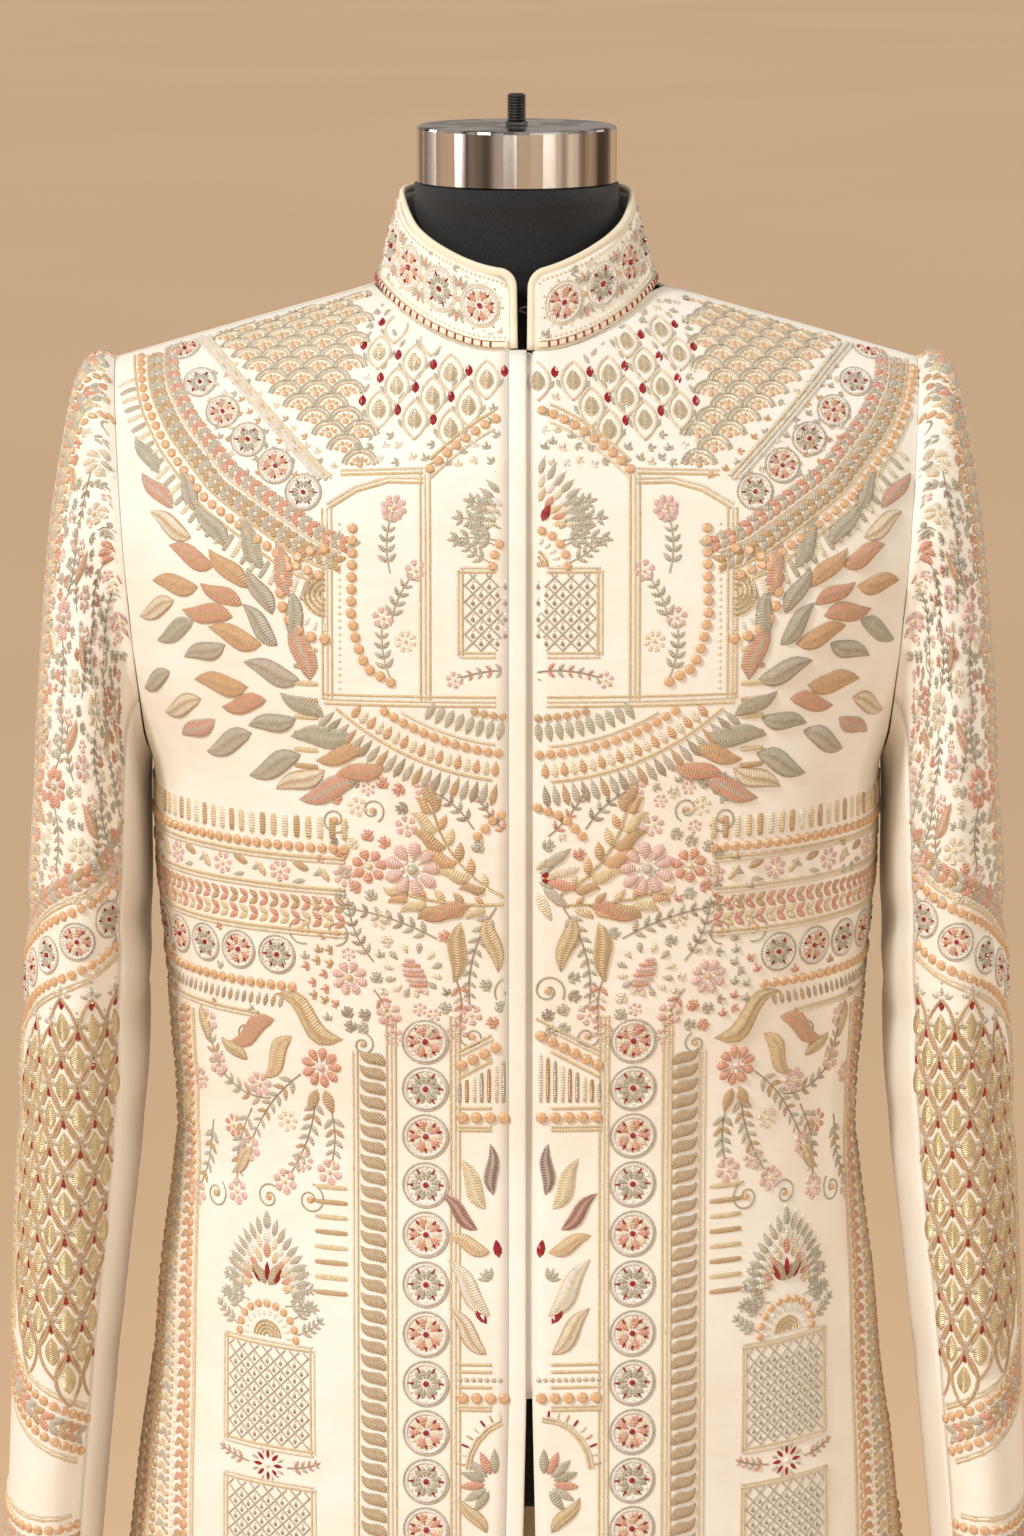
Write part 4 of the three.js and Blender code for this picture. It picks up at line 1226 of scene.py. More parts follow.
def ring(w, s, t, radius, width, tint, first=0.0, last=TAU, stuff=ZARI):
    turn = np.linspace(first, last, 25)
    path = np.stack([s + radius * np.cos(turn), t + radius * np.sin(turn)], 1)
    w.cord(path, width, tint, stuff, max(1.6, min(3.2, radius * 0.42)))


def rosette(w, s, t, radius, kind, outer="silver"):
    """A ringed flower: grey petals and red tips by turns with rose petals and red seeds between."""
    ring(w, s, t, radius, 1.3, outer, stuff=THREAD)
    ring(w, s, t, radius * 0.87, 1.9, "pearl", stuff=THREAD)
    w.dot(s, t, radius * 0.15, "red", GEM, 1.2)

    def ray(angle, root, length, width, tint, shape="petalet", **more):
        place = away(s, t, angle, radius * root)
        w.blade(*place, angle, radius * length, radius * width, tint, shape, **more)

    seed = {"shape": "seed", "height": 1.7, "stuff": GEM}
    if kind % 2:
        for k in range(12):
            ray((k + 0.5) * TAU / 12, 0.16, 0.56, 0.28, ("silver", "green")[k % 2])
        for k in range(6):
            angle = k * TAU / 6
            ray(angle, 0.5, 0.34, 0.14, "red", **seed)
            w.dot(*away(s, t, angle + TAU / 12, radius * 0.74), radius * 0.09, "pearl")
    else:
        for k in range(10):
            angle = k * TAU / 10
            ray(angle, 0.15, 0.64, 0.36, ("rose", "cream")[k % 2])
            ray(angle + TAU / 20, 0.48, 0.32, 0.15, ("red", "pink")[k % 3 == 2], **seed)


def flower(w, s, t, radius, tint, petals=8, turn=0.3, core="gold"):
    width = radius * 4.3 / petals
    shape = "petal" if radius > 7 else "petalet"
    for k in range(petals):
        angle = turn + k * TAU / petals
        root = away(s, t, angle, radius * 0.24)
        w.blade(*root, angle, radius * 0.78, width, tint, shape, min(2.2, radius * 0.16))
    w.dot(s, t, radius * 0.2, core, BEAD, 1.1)
    if radius > 8:
        for k in range(8):
            w.dot(*away(s, t, k * TAU / 8, radius * 0.34), radius * 0.09, "pearl")


def big_leaf(w, s, t, angle, length, width, tint, edge, bend=0.05):
    w.blade(s, t, angle, length, width, tint, "rimmed", 2.6, bend, edge=edge)


def spray(w, s, t, angle, length, curl, pairs, size, tints, tip="", stem="grey"):
    """A stem with pairs of leaves. curl is how far it turns from root to tip."""
    path = [(s, t)]
    for k in range(pairs):
        s, t = away(s, t, angle, length / pairs)
        angle += curl / pairs
        path.append((s, t))
        share = 1 - 0.4 * k / pairs
        for side in SIDES:
            tint = tints[k % len(tints)]
            w.blade(s, t, angle + side * 0.8, size * share, size * 0.44 * share, tint, "leaflet")
    w.cord(path, 1.1, stem, THREAD, 3.0)
    if tip:
        flower(w, *away(s, t, angle, size * 0.8), size * 0.85, tip, 6)
    else:
        w.blade(s, t, angle, size * 0.8, size * 0.36, tints[0], "leaflet")


def curl(w, s, t, angle, size, hand=1, tint="green"):
    """A tendril that winds up round a bead."""
    turn = np.linspace(0, 1.4 * TAU, 26)
    radius = size * (1 - 0.82 * turn / turn[-1])
    s, t = away(s, t, angle, size)
    heading = angle + math.pi + hand * turn
    w.cord(np.stack([s + radius * np.cos(heading), t + radius * np.sin(heading)], 1), 1.2, tint, THREAD, 1.9)
    coin(w, s, t, size * 0.16 + 0.7)


def acanthus(w, s, t, angle, length, turn, tints, lobes=5):
    """A large curved leaf: lobes along one side of a gold spine, and small ones along the other."""
    path = [(s, t)]
    hand = 1 if turn > 0 else -1
    for k in range(lobes):
        s, t = away(s, t, angle, length / lobes)
        angle += turn / lobes
        path.append((s, t))
        share = math.sin(math.pi * (0.25 + 0.65 * k / lobes))
        near, far = tints[k % len(tints)], tints[(k + 1) % len(tints)]
        size = length * share
        w.blade(s, t, angle - hand * 0.75, size * 0.36, size * 0.15, near, "leaf", 2.0, -0.12 * hand)
        w.blade(s, t, angle + hand * 0.7, size * 0.2, size * 0.1, far, "leaflet")
    w.cord(path, 1.8, "gold", ZARI, 3.0)
    w.blade(s, t, angle, length * 0.28, length * 0.13, tints[0], "leaf", 2.0, 0.15 * hand)


def crest(w, s, t, half, height):
    """A flame of leaves in three layers round a jewelled heart, with wings of sprays on both sides."""
    core = t + height * 0.16
    layers = (
        (1.0, 10, 0.22, SILVER_SAGE),
        (0.74, 8, 0.2, ("cream", "pearl")),
        (0.5, 6, 0.19, ("gold", "rose")),
    )
    for reach, count, length, tints in layers:
        for side in SIDES:
            for k in range(count):
                p = k / (count - 1)
                across = half * 0.72 * reach * (1 - p**1.9) + 0.6
                low = core + height * 0.6 * reach * p
                angle = UP - side * 1.5 * (1 - p) ** 0.8
                root = s + side * across, low
                w.blade(*root, angle, height * length, height * 0.085, tints[k % 2], "leaflet", 2.0)
                if reach == 1.0:
                    w.dot(*away(*root, angle, height * length), 0.8, "pearl")
    for side in SIDES:
        low = core + height * 0.02
        big_leaf(w, s + side * 0.8, low, UP - side * 0.55, height * 0.3, half * 0.26, "tan", "silver")
    for k in (-1, 0, 1):
        low = core + height * (0.06 - 0.03 * abs(k))
        gem(w, s + k * half * 0.2, low, UP - k * 0.45, height * 0.22, half * 0.17, 2.6)
    for side in SIDES:
        for row, reach in enumerate((0.5, 0.66, 0.72)):
            low = t + height * (0.26 - 0.14 * row)
            heading = UP - side * (0.95 + 0.2 * row)
            spray(w, s + side * half * 0.5, low, heading, half * reach, -side * 0.4, 4, half * 0.29,
                  SILVER_SAGE, stem="silver")


def bead_fan(w, s, t, radius, first=0.0, last=math.pi):
    """A fan of gold, white bars and round beads about a point."""
    for share in (0.1, 0.2, 0.3, 0.4):
        ring(w, s, t, radius * share, radius * 0.085, "gold", first, last)
    turn = last - first
    for k in range(int(turn / TAU * 22) + 1):
        angle = first + turn * k / int(turn / TAU * 22)
        w.blade(*away(s, t, angle, radius * 0.5), angle, radius * 0.24, radius * 0.12, "pearl", "petalet")
    count = int(turn * radius * 0.86 / (radius * 0.25))
    for k in range(count + 1):
        angle = first + turn * k / count
        coin(w, *away(s, t, angle, radius * 0.86), radius * 0.115)


def fan_wing(w, root, side, row, longest):
    """One of the three sprays that rise beside a fan."""
    angle = UP - side * (1.15 - 0.12 * row)
    spray(w, *root, angle, longest - 3 * row, side * 0.4, 4, 6.5, SILVER_SAGE, stem="silver")


def frame_lines(w, s0, s1, t0, t1, tints=CREAM_GOLD):
    corners = [(s0, t0), (s1, t0), (s1, t1), (s0, t1), (s0, t0)]
    for a, b in zip(corners[:-1], corners[1:]):
        edging(w, [a, b], 2.3, tints, 1.6)


def lattice(w, s0, s1, t0, t1, pitch=8.6, tint="silver"):
    """A box of crossed cords with a drop and a seed bead in each cell."""
    frame_lines(w, s0, s1, t0, t1)
    s0, s1, t0, t1 = s0 + 2.4, s1 - 2.4, t0 + 2.4, t1 - 2.4
    columns = max(1, round((s1 - s0) / pitch))
    step = (s1 - s0) / columns
    rise = t1 - t0
    for k in range(-int(rise / step) - 1, columns + 1):
        for side in SIDES:
            first, last = max(0.0, -k * step), min(rise, (columns - k) * step)
            if last - first < 2:
                continue
            ends = [(s0 + k * step + d, t0 + d) for d in (first, last)]
            if side < 0:
                ends = [(s0 + s1 - a, b) for a, b in ends]
            w.cord(ends, 1.2, tint, THREAD, 9.0)
    for j in range(1, int(rise / step * 2)):
        for i in range(columns + 1 - j % 2):
            s = s0 + (i + 0.5 * (j % 2)) * step
            odd = (i * 2 + j % 2 + j) % 2
            s = s + (0 if odd else step / 2)
            if s0 + 2 < s < s1 - 2:
                t = t0 + j * step / 2
                w.blade(s, t - step * 0.3, UP, step * 0.44, step * 0.3, "grey", "seed", 1.5)
                w.dot(s, t + step * 0.26, 0.9, "pearl")


def scallops(w, places, radius):
    """Overlapping scales: a coin in a fan of petals between curved cords."""
    for s, t in places:
        ring(w, s, t, radius, 1.4, "silver", 0.15, math.pi - 0.15, THREAD)
        ring(w, s, t, radius * 0.8, 2.2, "cream", 0.1, math.pi - 0.1)
        for k in range(6):
            angle = 0.3 + k * (math.pi - 0.6) / 5
            tint = ("peach", "gold")[k % 2]
            w.blade(*away(s, t, angle, radius * 0.26), angle, radius * 0.42, radius * 0.26, tint, "seed")
        w.dot(s, t + radius * 0.08, radius * 0.2, "peach", BEAD, 0.62, "large")


def oval_cell(w, s, t, half, tall):
    """A pointed oval outline of thick cord round a gold flower, with a lotus and a red drop at its top."""
    for side in SIDES:
        p = np.linspace(0, 1, 9)
        bow = np.sin(math.pi * p) ** 0.85 * half * side
        w.cord(np.stack([s + bow, t - tall + 2 * tall * p], 1), 2.2, "tan", THREAD, 4.4)
    w.blade(s, t - tall * 0.56, UP, tall * 1.08, half * 1.2, "zari", "leaf", 2.0, stuff=ZARI)
    top = t + tall
    gem(w, s, top - 7.0, UP, 7.0, 4.2, 1.8)
    for k in range(5):
        angle = UP + (k - 2) * 0.62
        w.blade(*away(s, top, angle, 1.4), angle, 6.4, 2.7, ("silver", "pearl")[k % 2], "seed", 1.8)
    w.dot(s, top + 9.6, 1.0, "silver")


def paisley(w, s, t, angle, length, tint="pink"):
    """A bud with a striped heart in a ring of small petals."""
    count = 13
    for k in range(count):
        turn = angle + math.pi + (k + 0.5) * TAU / count
        reach = length * (0.36 + 0.12 * math.cos(turn - angle))
        tone = ("cream", "silver")[k % 2]
        w.blade(*away(s, t, turn, reach * 0.72), turn, length * 0.2, length * 0.12, tone, "petalet")
    side = angle + UP
    for k in range(7):
        share = (k - 3) / 3
        width = length * 0.36 * math.sqrt(max(0.08, 1 - share * share * 0.8))
        middle = away(s, t, angle, share * length * 0.25)
        slant = side + 0.35
        root = away(*middle, slant, -width / 2)
        w.blade(*root, slant, width, length * 0.075, (tint, "rose")[k % 2], "bar", 1.5)


def star(w, s, t, radius):
    """Eight red drops about a pale heart."""
    for k in range(8):
        angle = k * TAU / 8
        gem(w, *away(s, t, angle, radius * 0.3), angle, radius * 0.62, radius * 0.26, 1.0)
        angle += TAU / 16
        w.blade(*away(s, t, angle, radius * 0.55), angle, radius * 0.5, radius * 0.2, "silver", "petalet")
    w.dot(s, t, radius * 0.17, "pearl")


def fill(w, s0, s1, t0, t1, tints, sizes=(6.5, 4.6, 3.2), heading=0.6, flowers=""):
    """Small leaf pairs, flowers and seeds in whatever space is left in a box."""
    for size in sizes:
        pitch = size * 0.6
        for s in np.arange(s0, s1, pitch):
            for t in np.arange(t0, t1, pitch):
                ds, dt, da, pick = RNG.random(4)
                a, b = s + (ds - 0.5) * pitch * 0.7, t + (dt - 0.5) * pitch * 0.7
                if not w.free(a, b, 1.4):
                    continue
                tint = tints[int(pick * 997) % len(tints)]
                angle = heading + (da - 0.5) * 2.6
                if flowers and size > 6 and pick < 0.16:
                    flower(w, a, b, size * 0.62, flowers, 6, da * 3)
                elif size < 3.5:
                    w.dot(a, b, size * 0.34, tint if pick < 0.6 else "cream")
                else:
                    root = away(a, b, angle, -size * 0.45)
                    for side in (0.75, -0.75):
                        w.blade(*root, angle + side, size * 0.85, size * 0.4, tint, "seed", 1.7)
                    w.blade(*root, angle, size * 1.15, size * 0.4, tint, "seed", 1.9)
                    if size > 6:
                        for side in (0.6, -0.6):
                            w.blade(a, b, angle + side, size * 0.7, size * 0.34, tint, "seed", 1.7)


class Drawing(Stitches):
    """Stitches on a chart, placed by their distance across from the pattern's middle and their height."""

    def __init__(self, chart, span, origin):
        super().__init__(span)
        self.chart = chart
        self.origin = origin

    def to(self, *places):
        return self.chart.find([(self.origin + u, z) for u, z in places])

    def one(self, u, z):
        return tuple(self.to((u, z))[0])

    def line(self, *places, step=16.0):
        return self.to(*resampled(places, step)[0])

    def level(self, z, u=104.0):
        """The chart's t at a height."""
        return self.one(u, z)[1]


# ---------------------------------------------------------------- the fronts
LEAFY = ("silver", "sage", "green", "gold", "rose")
BOWL_CENTRE_Z = 1362.0
COLUMN_U = 56.5
HEM_TOP_Z = 492.0
SIDE_S = 345.0  # just past the side seam on a body chart
ROSETTE_PITCH = 27.2


def arch_z(u):
    return 1403 - 31 * (np.minimum(u, 53) / 53) ** 1.6


def diaper_cell(w, s, t, size, shape):
    """A pointed cell of cord round a gold oval, with a red diamond and small leaves beside it."""
    for side in SIDES:
        share = np.linspace(0, 1, 7)
        across = side * 6.8 * size * np.sin(math.pi * share) ** 0.8
        w.cord(np.stack([s + across, t + size * (23 * share - 12)], 1), 1.9, "cream", THREAD, 4.0 * size)
        for rise, angle, tint in ((9.5, UP + side * 0.45, "silver"), (0.5, -UP - side * 0.45, "sage")):
            w.blade(s + side * 9.2 * size, t + rise * size, angle, 7.5 * size, 2.9 * size, tint, "seed", 1.7)
    w.blade(s, t - 6.8 * size, UP, 13 * size, 8.2 * size, "zari", shape, 2.0, edge="pearl", stuff=ZARI)
    gem(w, s + 9.5 * size, t + 1.4 * size, UP, 8 * size, 4.8 * size, 1.6)


def neck_diaper(w):
    """Pointed cells with a gold oval in each and a red diamond between, from the neck to the arch."""
    for row in range(-4, 7):
        for column in range(-1, 6):
            u = 3.9 + 19 * column + 9.5 * (row % 2)
            z = 1417 - 13.6 * row + 0.22 * max(0, u - 30)
            if u > 86 or u < -8 or z > float(top_z("front", u + PATTERN_X)) - 7:
                continue
            if z < arch_z(abs(u)) + 8 + 16 * (u > 57):
                continue
            diaper_cell(w, *w.one(u, z), 1.0, "rimmed")
    edging(w, w.line((57, 1371), (100, 1369)), 2.4)
    s0, t0 = w.one(2, 1376)
    fill(w, s0, s0 + 92, t0, t0 + 116, ("cream", "silver", "pearl", "sage"), (5.0,))


def niche(w):
    """The arched niche with its crest, fan and scaled box."""
    u = np.linspace(-6, 53, 24)
    arch = w.to(*[(a, float(arch_z(abs(a)))) for a in u])
    coins(w, arch, 2.9)
    edging(w, arch + np.array([0, -5.2]), 2.0, ("cream",))
    edging(w, arch + np.array([0, 5.0]), 2.0, ("gold",))
    s, t = w.one(0, 1336)
    crest(w, s, t, 31, 49)
    s, t = w.one(0, 1322)
    bead_fan(w, s, t, 23)
    for side in SIDES:
        for row in range(3):
            root = w.one(side * (21 - 2 * row), 1324 + 9 * row)
            fan_wing(w, root, side, row, 17)
    (s0, t0), (s1, t1) = w.to((-37, 1275), (37, 1320))
    s0 = 2 * w.origin - s1
    lattice(w, s0, s1, t0, t1, 8.4)
    s, t = w.one(0, 1266)
    for side in SIDES:
        spray(w, s + side * 4, t, UP - side * 1.45, 32, -side * 0.5, 6, 6, ("rose", "silver"), "pink")
    star(w, s, t - 2, 6.5)


def frame_field(w):
    """The tall frame beside the niche, its column of discs and its sprays."""
    for u, top in ((55.5, 1369), (107.5, 1351)):
        edging(w, w.line((u, top), (u, 1250)), 2.5, GOLD_CREAM_GOLD, 1.5)
    edging(w, w.line((0, 1250), (109, 1250)), 2.5, GOLD_CREAM_GOLD, 1.5)
    edging(w, w.line((57, 1366), (84, 1366), (107, 1352)), 2.5, GOLD_CREAM)
    coins(w, w.line((94, 1341), (95, 1290), (88, 1268), (74, 1260)), 3.0)
    beads(w, w.line((101, 1343), (101, 1256)), 1.1, 3.6, "cream")
    for z, lean in ((1262, 1.2), (1290, 1.75), (1318, 1.35)):
        spray(w, *w.one(74, z), lean, 27, 0.5, 5, 7.5, LEAFY[:3], "pink", "silver")
    flower(w, *w.one(72, 1352), 7.5, "pink")
    flower(w, *w.one(66, 1282), 6.5, "cream")
    s, t = w.one(109, 1306)
    bead_fan(w, s, t, 28, -UP, UP)
    bars(w, w.line((119, 1276), (119, 1212)), 14, 3.6, 8.6, ("gold", "tan"))


def bowl(w):
    """Curved rows of petals and bars below the frame, as on a garland's lower edge."""

    def arc(radius):
        turn = np.linspace(-0.72, 0.05, 40)
        places = [(-radius * math.sin(a), BOWL_CENTRE_Z - radius * math.cos(a)) for a in turn]
        return w.to(*[place for place in places if place[1] < 1245])

    bars(w, arc(164), 14, 5.0, 5.2, ("silver", "grey", "silver", "tan"), 0.12, "petalet")
    edging(w, arc(156), 2.0, ("gold",))
    bars(w, arc(150), 9.5, 5.2, 5.2, ("peach", "cream"), 0, "petalet")
    coins(w, arc(141), 2.7)
    edging(w, arc(136.5), 2.0, ("cream",))
    bars(w, arc(129), 12, 5.2, 5.4, ("sage", "silver"), 0.1, "leaflet")
    coins(w, arc(121), 2.3, "tan")


def garden(w):
    """Flowers, striped buds and large curved leaves between the bowl and the rosette columns."""
    s, t = w.one(0, 1153)
    for k in range(11):
        angle = -UP + (k - 5) * 0.44
        w.blade(*away(s, t, angle, 9), angle, 19, 6.6, ("cream", "silver", "rose")[k % 3], "leaf", 1.9)
        w.blade(*away(s, t, angle + 0.22, 5), angle + 0.22, 10, 3.6, ("gold", "sage")[k % 2], "leaflet")
    for side in SIDES:
        gem(w, *w.one(side * 8.5, 1148), UP, 11, 5, 1.6)
    coins(w, w.line((4, 1192), (20, 1186), (28, 1176)), 2.8)
    for side in SIDES:
        acanthus(w, *w.one(side * 14, 1142), UP - side * 1.05, 62, side * 0.9, ("tan", "gold", "peach"), 6)
        acanthus(w, *w.one(side * 14, 1138), UP - side * 1.62, 52, side * 0.35, ("gold", "peach", "tan"), 5)
    spray(w, *w.one(18, 1136), -1.0, 58, -0.7, 9, 8, SILVER_SAGE, "pink")
    spray(w, *w.one(30, 1180), 1.0, 30, -0.6, 5, 7, ("grey", "silver"), "pink")
    spray(w, *w.one(10, 1176), 0.75, 30, 0.35, 6, 6, ("rose", "grey"))
    for u, z, angle, size, tints in (
        (23, 1132, -1.75, 34, ("gold", "tan")), (37, 1128, -1.45, 36, ("tan", "gold")),
        (31, 1137, -0.25, 30, ("rose", "tan")), (12, 1130, -1.9, 27, CREAM_GOLD),
    ):
        big_leaf(w, *w.one(u, z), angle, size, size * 0.3, *tints)
    flower(w, *w.one(63, 1157), 16, "pink", 9, core="sage")
    flower(w, *w.one(86, 1158), 10, "rose", 7, core="gold")
    flower(w, *w.one(66, 1181), 6.5, "pink", 6)
    flower(w, *w.one(92, 1191), 6, "cream", 6)
    paisley(w, *w.one(62, 1097), 1.25, 36)
    flower(w, *w.one(97, 1094), 10.5, "pink", 8, core="peach")
    flower(w, *w.one(76, 1074), 7.5, "pink", 6)
    flower(w, *w.one(80, 1128), 6, "cream", 6)
    for u, z, angle, size, hand in (
        (18, 1084, 2.6, 9.5, 1), (81, 1183, 1.1, 7, -1), (97, 1180, 0.4, 8, 1), (36, 1068, -2.3, 7.5, -1),
        (104, 1112, 1.6, 7.5, -1), (120, 1112, 1.2, 8.5, 1), (88, 1062, -1.2, 6.5, 1),
    ):
        curl(w, *w.one(u, z), angle, size, hand)
    spray(w, *w.one(50, 1118), 0.5, 60, -0.5, 9, 8, ("silver", "sage", "grey"), "cream")
    spray(w, *w.one(84, 1104), 0.9, 34, 0.6, 6, 7, ("silver", "grey"))
    spray(w, *w.one(40, 1096), -1.9, 26, 0.6, 5, 7.5, ("rose", "cream"), "pink")
    spray(w, *w.one(84, 1088), -2.2, 24, 0.5, 4, 7, ("rose", "cream"), "pink")
    big_leaf(w, *w.one(100, 1058), 0.5, 48, 13, "gold", "tan", -0.14)
    big_leaf(w, *w.one(137, 1066), -0.5, 36, 12, "rose", "tan", 0.1)
    big_leaf(w, *w.one(128, 1058), -0.95, 34, 11, "gold", "peach", 0.1)
    s0, t0 = w.one(2, 1066)
    s1, t1 = w.one(104, 1206)
    fill(w, s0, s1, t0, t1, ("silver", "sage", "cream", "grey", "rose"), (7.0, 5.2), flowers="pink")


def shoulder(w):
    """Scales, a cream band, rosettes, braids and a beaded arc across the shoulder."""
    places = []
    s0, t0 = w.one(90, 1372)
    for row in range(15):
        for column in range(-1, 7):
            s, t = s0 + 17.6 * column + 8.8 * (row % 2), t0 + 118 - 8.4 * row
            x, _, z = w.chart.sample(w.chart.points, np.array(s), np.array(t))
            u = float(x) - w.origin
            if float(z) > 1368 + (u - 107) * 0.922 + 5 and 89 < u < 180:
                places.append((s, t))
    scallops(w, places, 9.9)
    s0, t0 = w.one(88, 1368)
    fill(w, s0, s0 + 92, t0, t0 + 110, ("cream", "silver", "peach"), (4.4, 3.0))
    for shift in (0, 3.4):
        edging(w, w.line((173 + shift, 1430), (107 + shift, 1366)), 2.6, ("cream", "ivory"), 2.6)
    wreath = ((186, 1424), (177, 1410), (164, 1396.5), (150, 1383.5), (135, 1371), (120, 1358.5))
    for k, place in enumerate(wreath):
        rosette(w, *w.one(*place), 10, k)
    arc = w.line((213, 1421), (207, 1400), (196, 1380), (172, 1352), (127, 1322), (112, 1316), step=8)
    coins(w, arc, 2.9)
    edging(w, arc + np.array([-3.4, 3.6]), 2.0, ("gold",))
    braid(w, arc + np.array([-7.4, 7.8]), 10, 4.9, ("tan", "silver"), 0.6)
    edging(w, arc + np.array([-11.8, 12.4]), 2.0, ("cream",))
    braid(w, arc + np.array([-15.6, 16.4]), 9.4, 4.9, ("silver", "rose"), 0.6)
    edging(w, arc + np.array([3.2, -3.6]), 2.0, ("gold",))
    bars(w, arc + np.array([7.6, -8.6]), 11, 3.6, 6.2, ("silver", "cream"))
    s0, t0 = w.one(106, 1318)
    s1, t1 = w.one(212, 1420)
    band = [(s, t) for s in np.arange(s0, s1, 5.0) for t in np.arange(t0, t1, 5.0)]
    ridge = arc + np.array([-12, 12])
    for s, t in band:
        near = np.hypot(ridge[:, 0] - s, ridge[:, 1] - t).min()
        if near < 26 and s < np.interp(t, ridge[::-1, 1], ridge[::-1, 0]) and w.free(s, t, 2.4):
            w.blade(s, t - 2, 0.8, 5.0, 2.2, ("silver", "rose", "cream")[int(s + t) % 3], "leaflet")


# u and z of each leaf's middle, its angle in degrees and its length.
LEAF_DRIFT = (
    (121, 1276, 75, 32), (134, 1263, 15, 31), (121, 1246, 27, 25), (156, 1254, 2, 32), (146, 1244, -12, 27),
    (134, 1235, -12, 27), (173, 1238, -20, 29), (166, 1227, -25, 27), (153, 1221, -24, 31), (111, 1229, -4, 32),
    (101, 1219, -14, 26), (91, 1210, -15, 27), (133, 1211, -24, 32), (122, 1204, -24, 29), (108, 1199, -20, 32),
    (163, 1271, -18, 27), (176, 1280, -24, 27), (150, 1281, 14, 30), (162, 1292, 5, 29), (139, 1288, 48, 27),
    (184, 1291, -20, 26), (129, 1318, 74, 28), (139, 1306, 60, 26), (143, 1331, 62, 28), (153, 1317, 42, 28),
    (169, 1322, 20, 28), (160, 1339, 50, 28), (178, 1337, 26, 28), (184, 1354, 42, 27), (170, 1356, 60, 25),
    (189, 1372, 52, 25), (176, 1306, 4, 28), (156, 1303, 24, 25), (124, 1294, 80, 26), (192, 1320, 10, 25),
    (192, 1262, -30, 26), (184, 1250, -26, 25), (191, 1303, -12, 22),
)


def leaf_drift(w):
    """Large leaves that drift up from the chest to the armhole on plain silk."""
    pairs = (
        ("rose", "silver"), ("sage", "grey"), ("peach", "tan"), ("silver", "grey"),
        ("cream", "tan"), ("rose", "tan"), ("green", "silver"),
    )
    for k, (u, z, degrees, length) in enumerate(LEAF_DRIFT):
        angle = math.radians(degrees)
        length *= 1.12
        s, t = away(*w.one(u + 0.22 * max(0, u - 120), z), angle, -length / 2)
        big_leaf(w, s, t, angle, length, length * 0.36, *pairs[k * 3 % 7], bend=0.05 * (-1) ** k)


def side_rows(w):
    """Level rows of stitching from the chest to the side seam."""
    first = w.one(99, 1170)[0]

    def row(z, start=first):
        t = w.level(z)
        return np.array([(start, t), (SIDE_S, t)])

    bars(w, row(1178), 13, 4.2, 6.8, ("gold", "tan", "cream"))
    coins(w, row(1167), 2.9)
    edging(w, row(1160.5), 2.2, CREAM_GOLD)
    for k, (s, t) in enumerate(resampled(row(1152), 12.5)[0]):
        if k % 3 == 0:
            flower(w, s, t, 7, "pink", 7, core="gold")
        elif k % 3 == 1:
            w.blade(s - 4, t - 4, 0.9, 11, 4.6, "gold", "leaf", 1.8)
            w.blade(s - 2, t + 3, -0.5, 9, 4, "sage", "leaflet")
        else:
            w.blade(s - 5, t + 2, 0.35, 11, 4.6, "tan", "leaf", 1.8)
            w.blade(s - 3, t - 4, -0.2, 9, 3.6, "silver", "leaflet")
    edging(w, row(1143), 2.2, CREAM_GOLD)
    braid(w, row(1135), 9, 6.4, ("tan", "rose"), 0.6)
    braid(w, row(1126), 9, 6.4, ("rose", "gold"), -0.6)
    edging(w, row(1118.5), 2.2, CREAM_GOLD)
    for k, (s, t) in enumerate(resampled(row(1104, w.one(136, 1104)[0]), 23.4)[0]):
        rosette(w, s, t, 11, k + 1)
    coins(w, row(1086.5, w.one(128, 1086)[0]), 2.9)
    bars(w, row(1077, w.one(134, 1077)[0]), 9, 3.6, 4.8, ("silver", "tan", "grey"), 0.3, "leaflet")
    edging(w, row(1068, w.one(146, 1068)[0]), 2.2, CREAM_GOLD)
    s0, t0 = first, w.level(1070)
    fill(w, s0, SIDE_S, t0, w.level(1174), ("silver", "sage", "rose", "tan"), (5.4,))


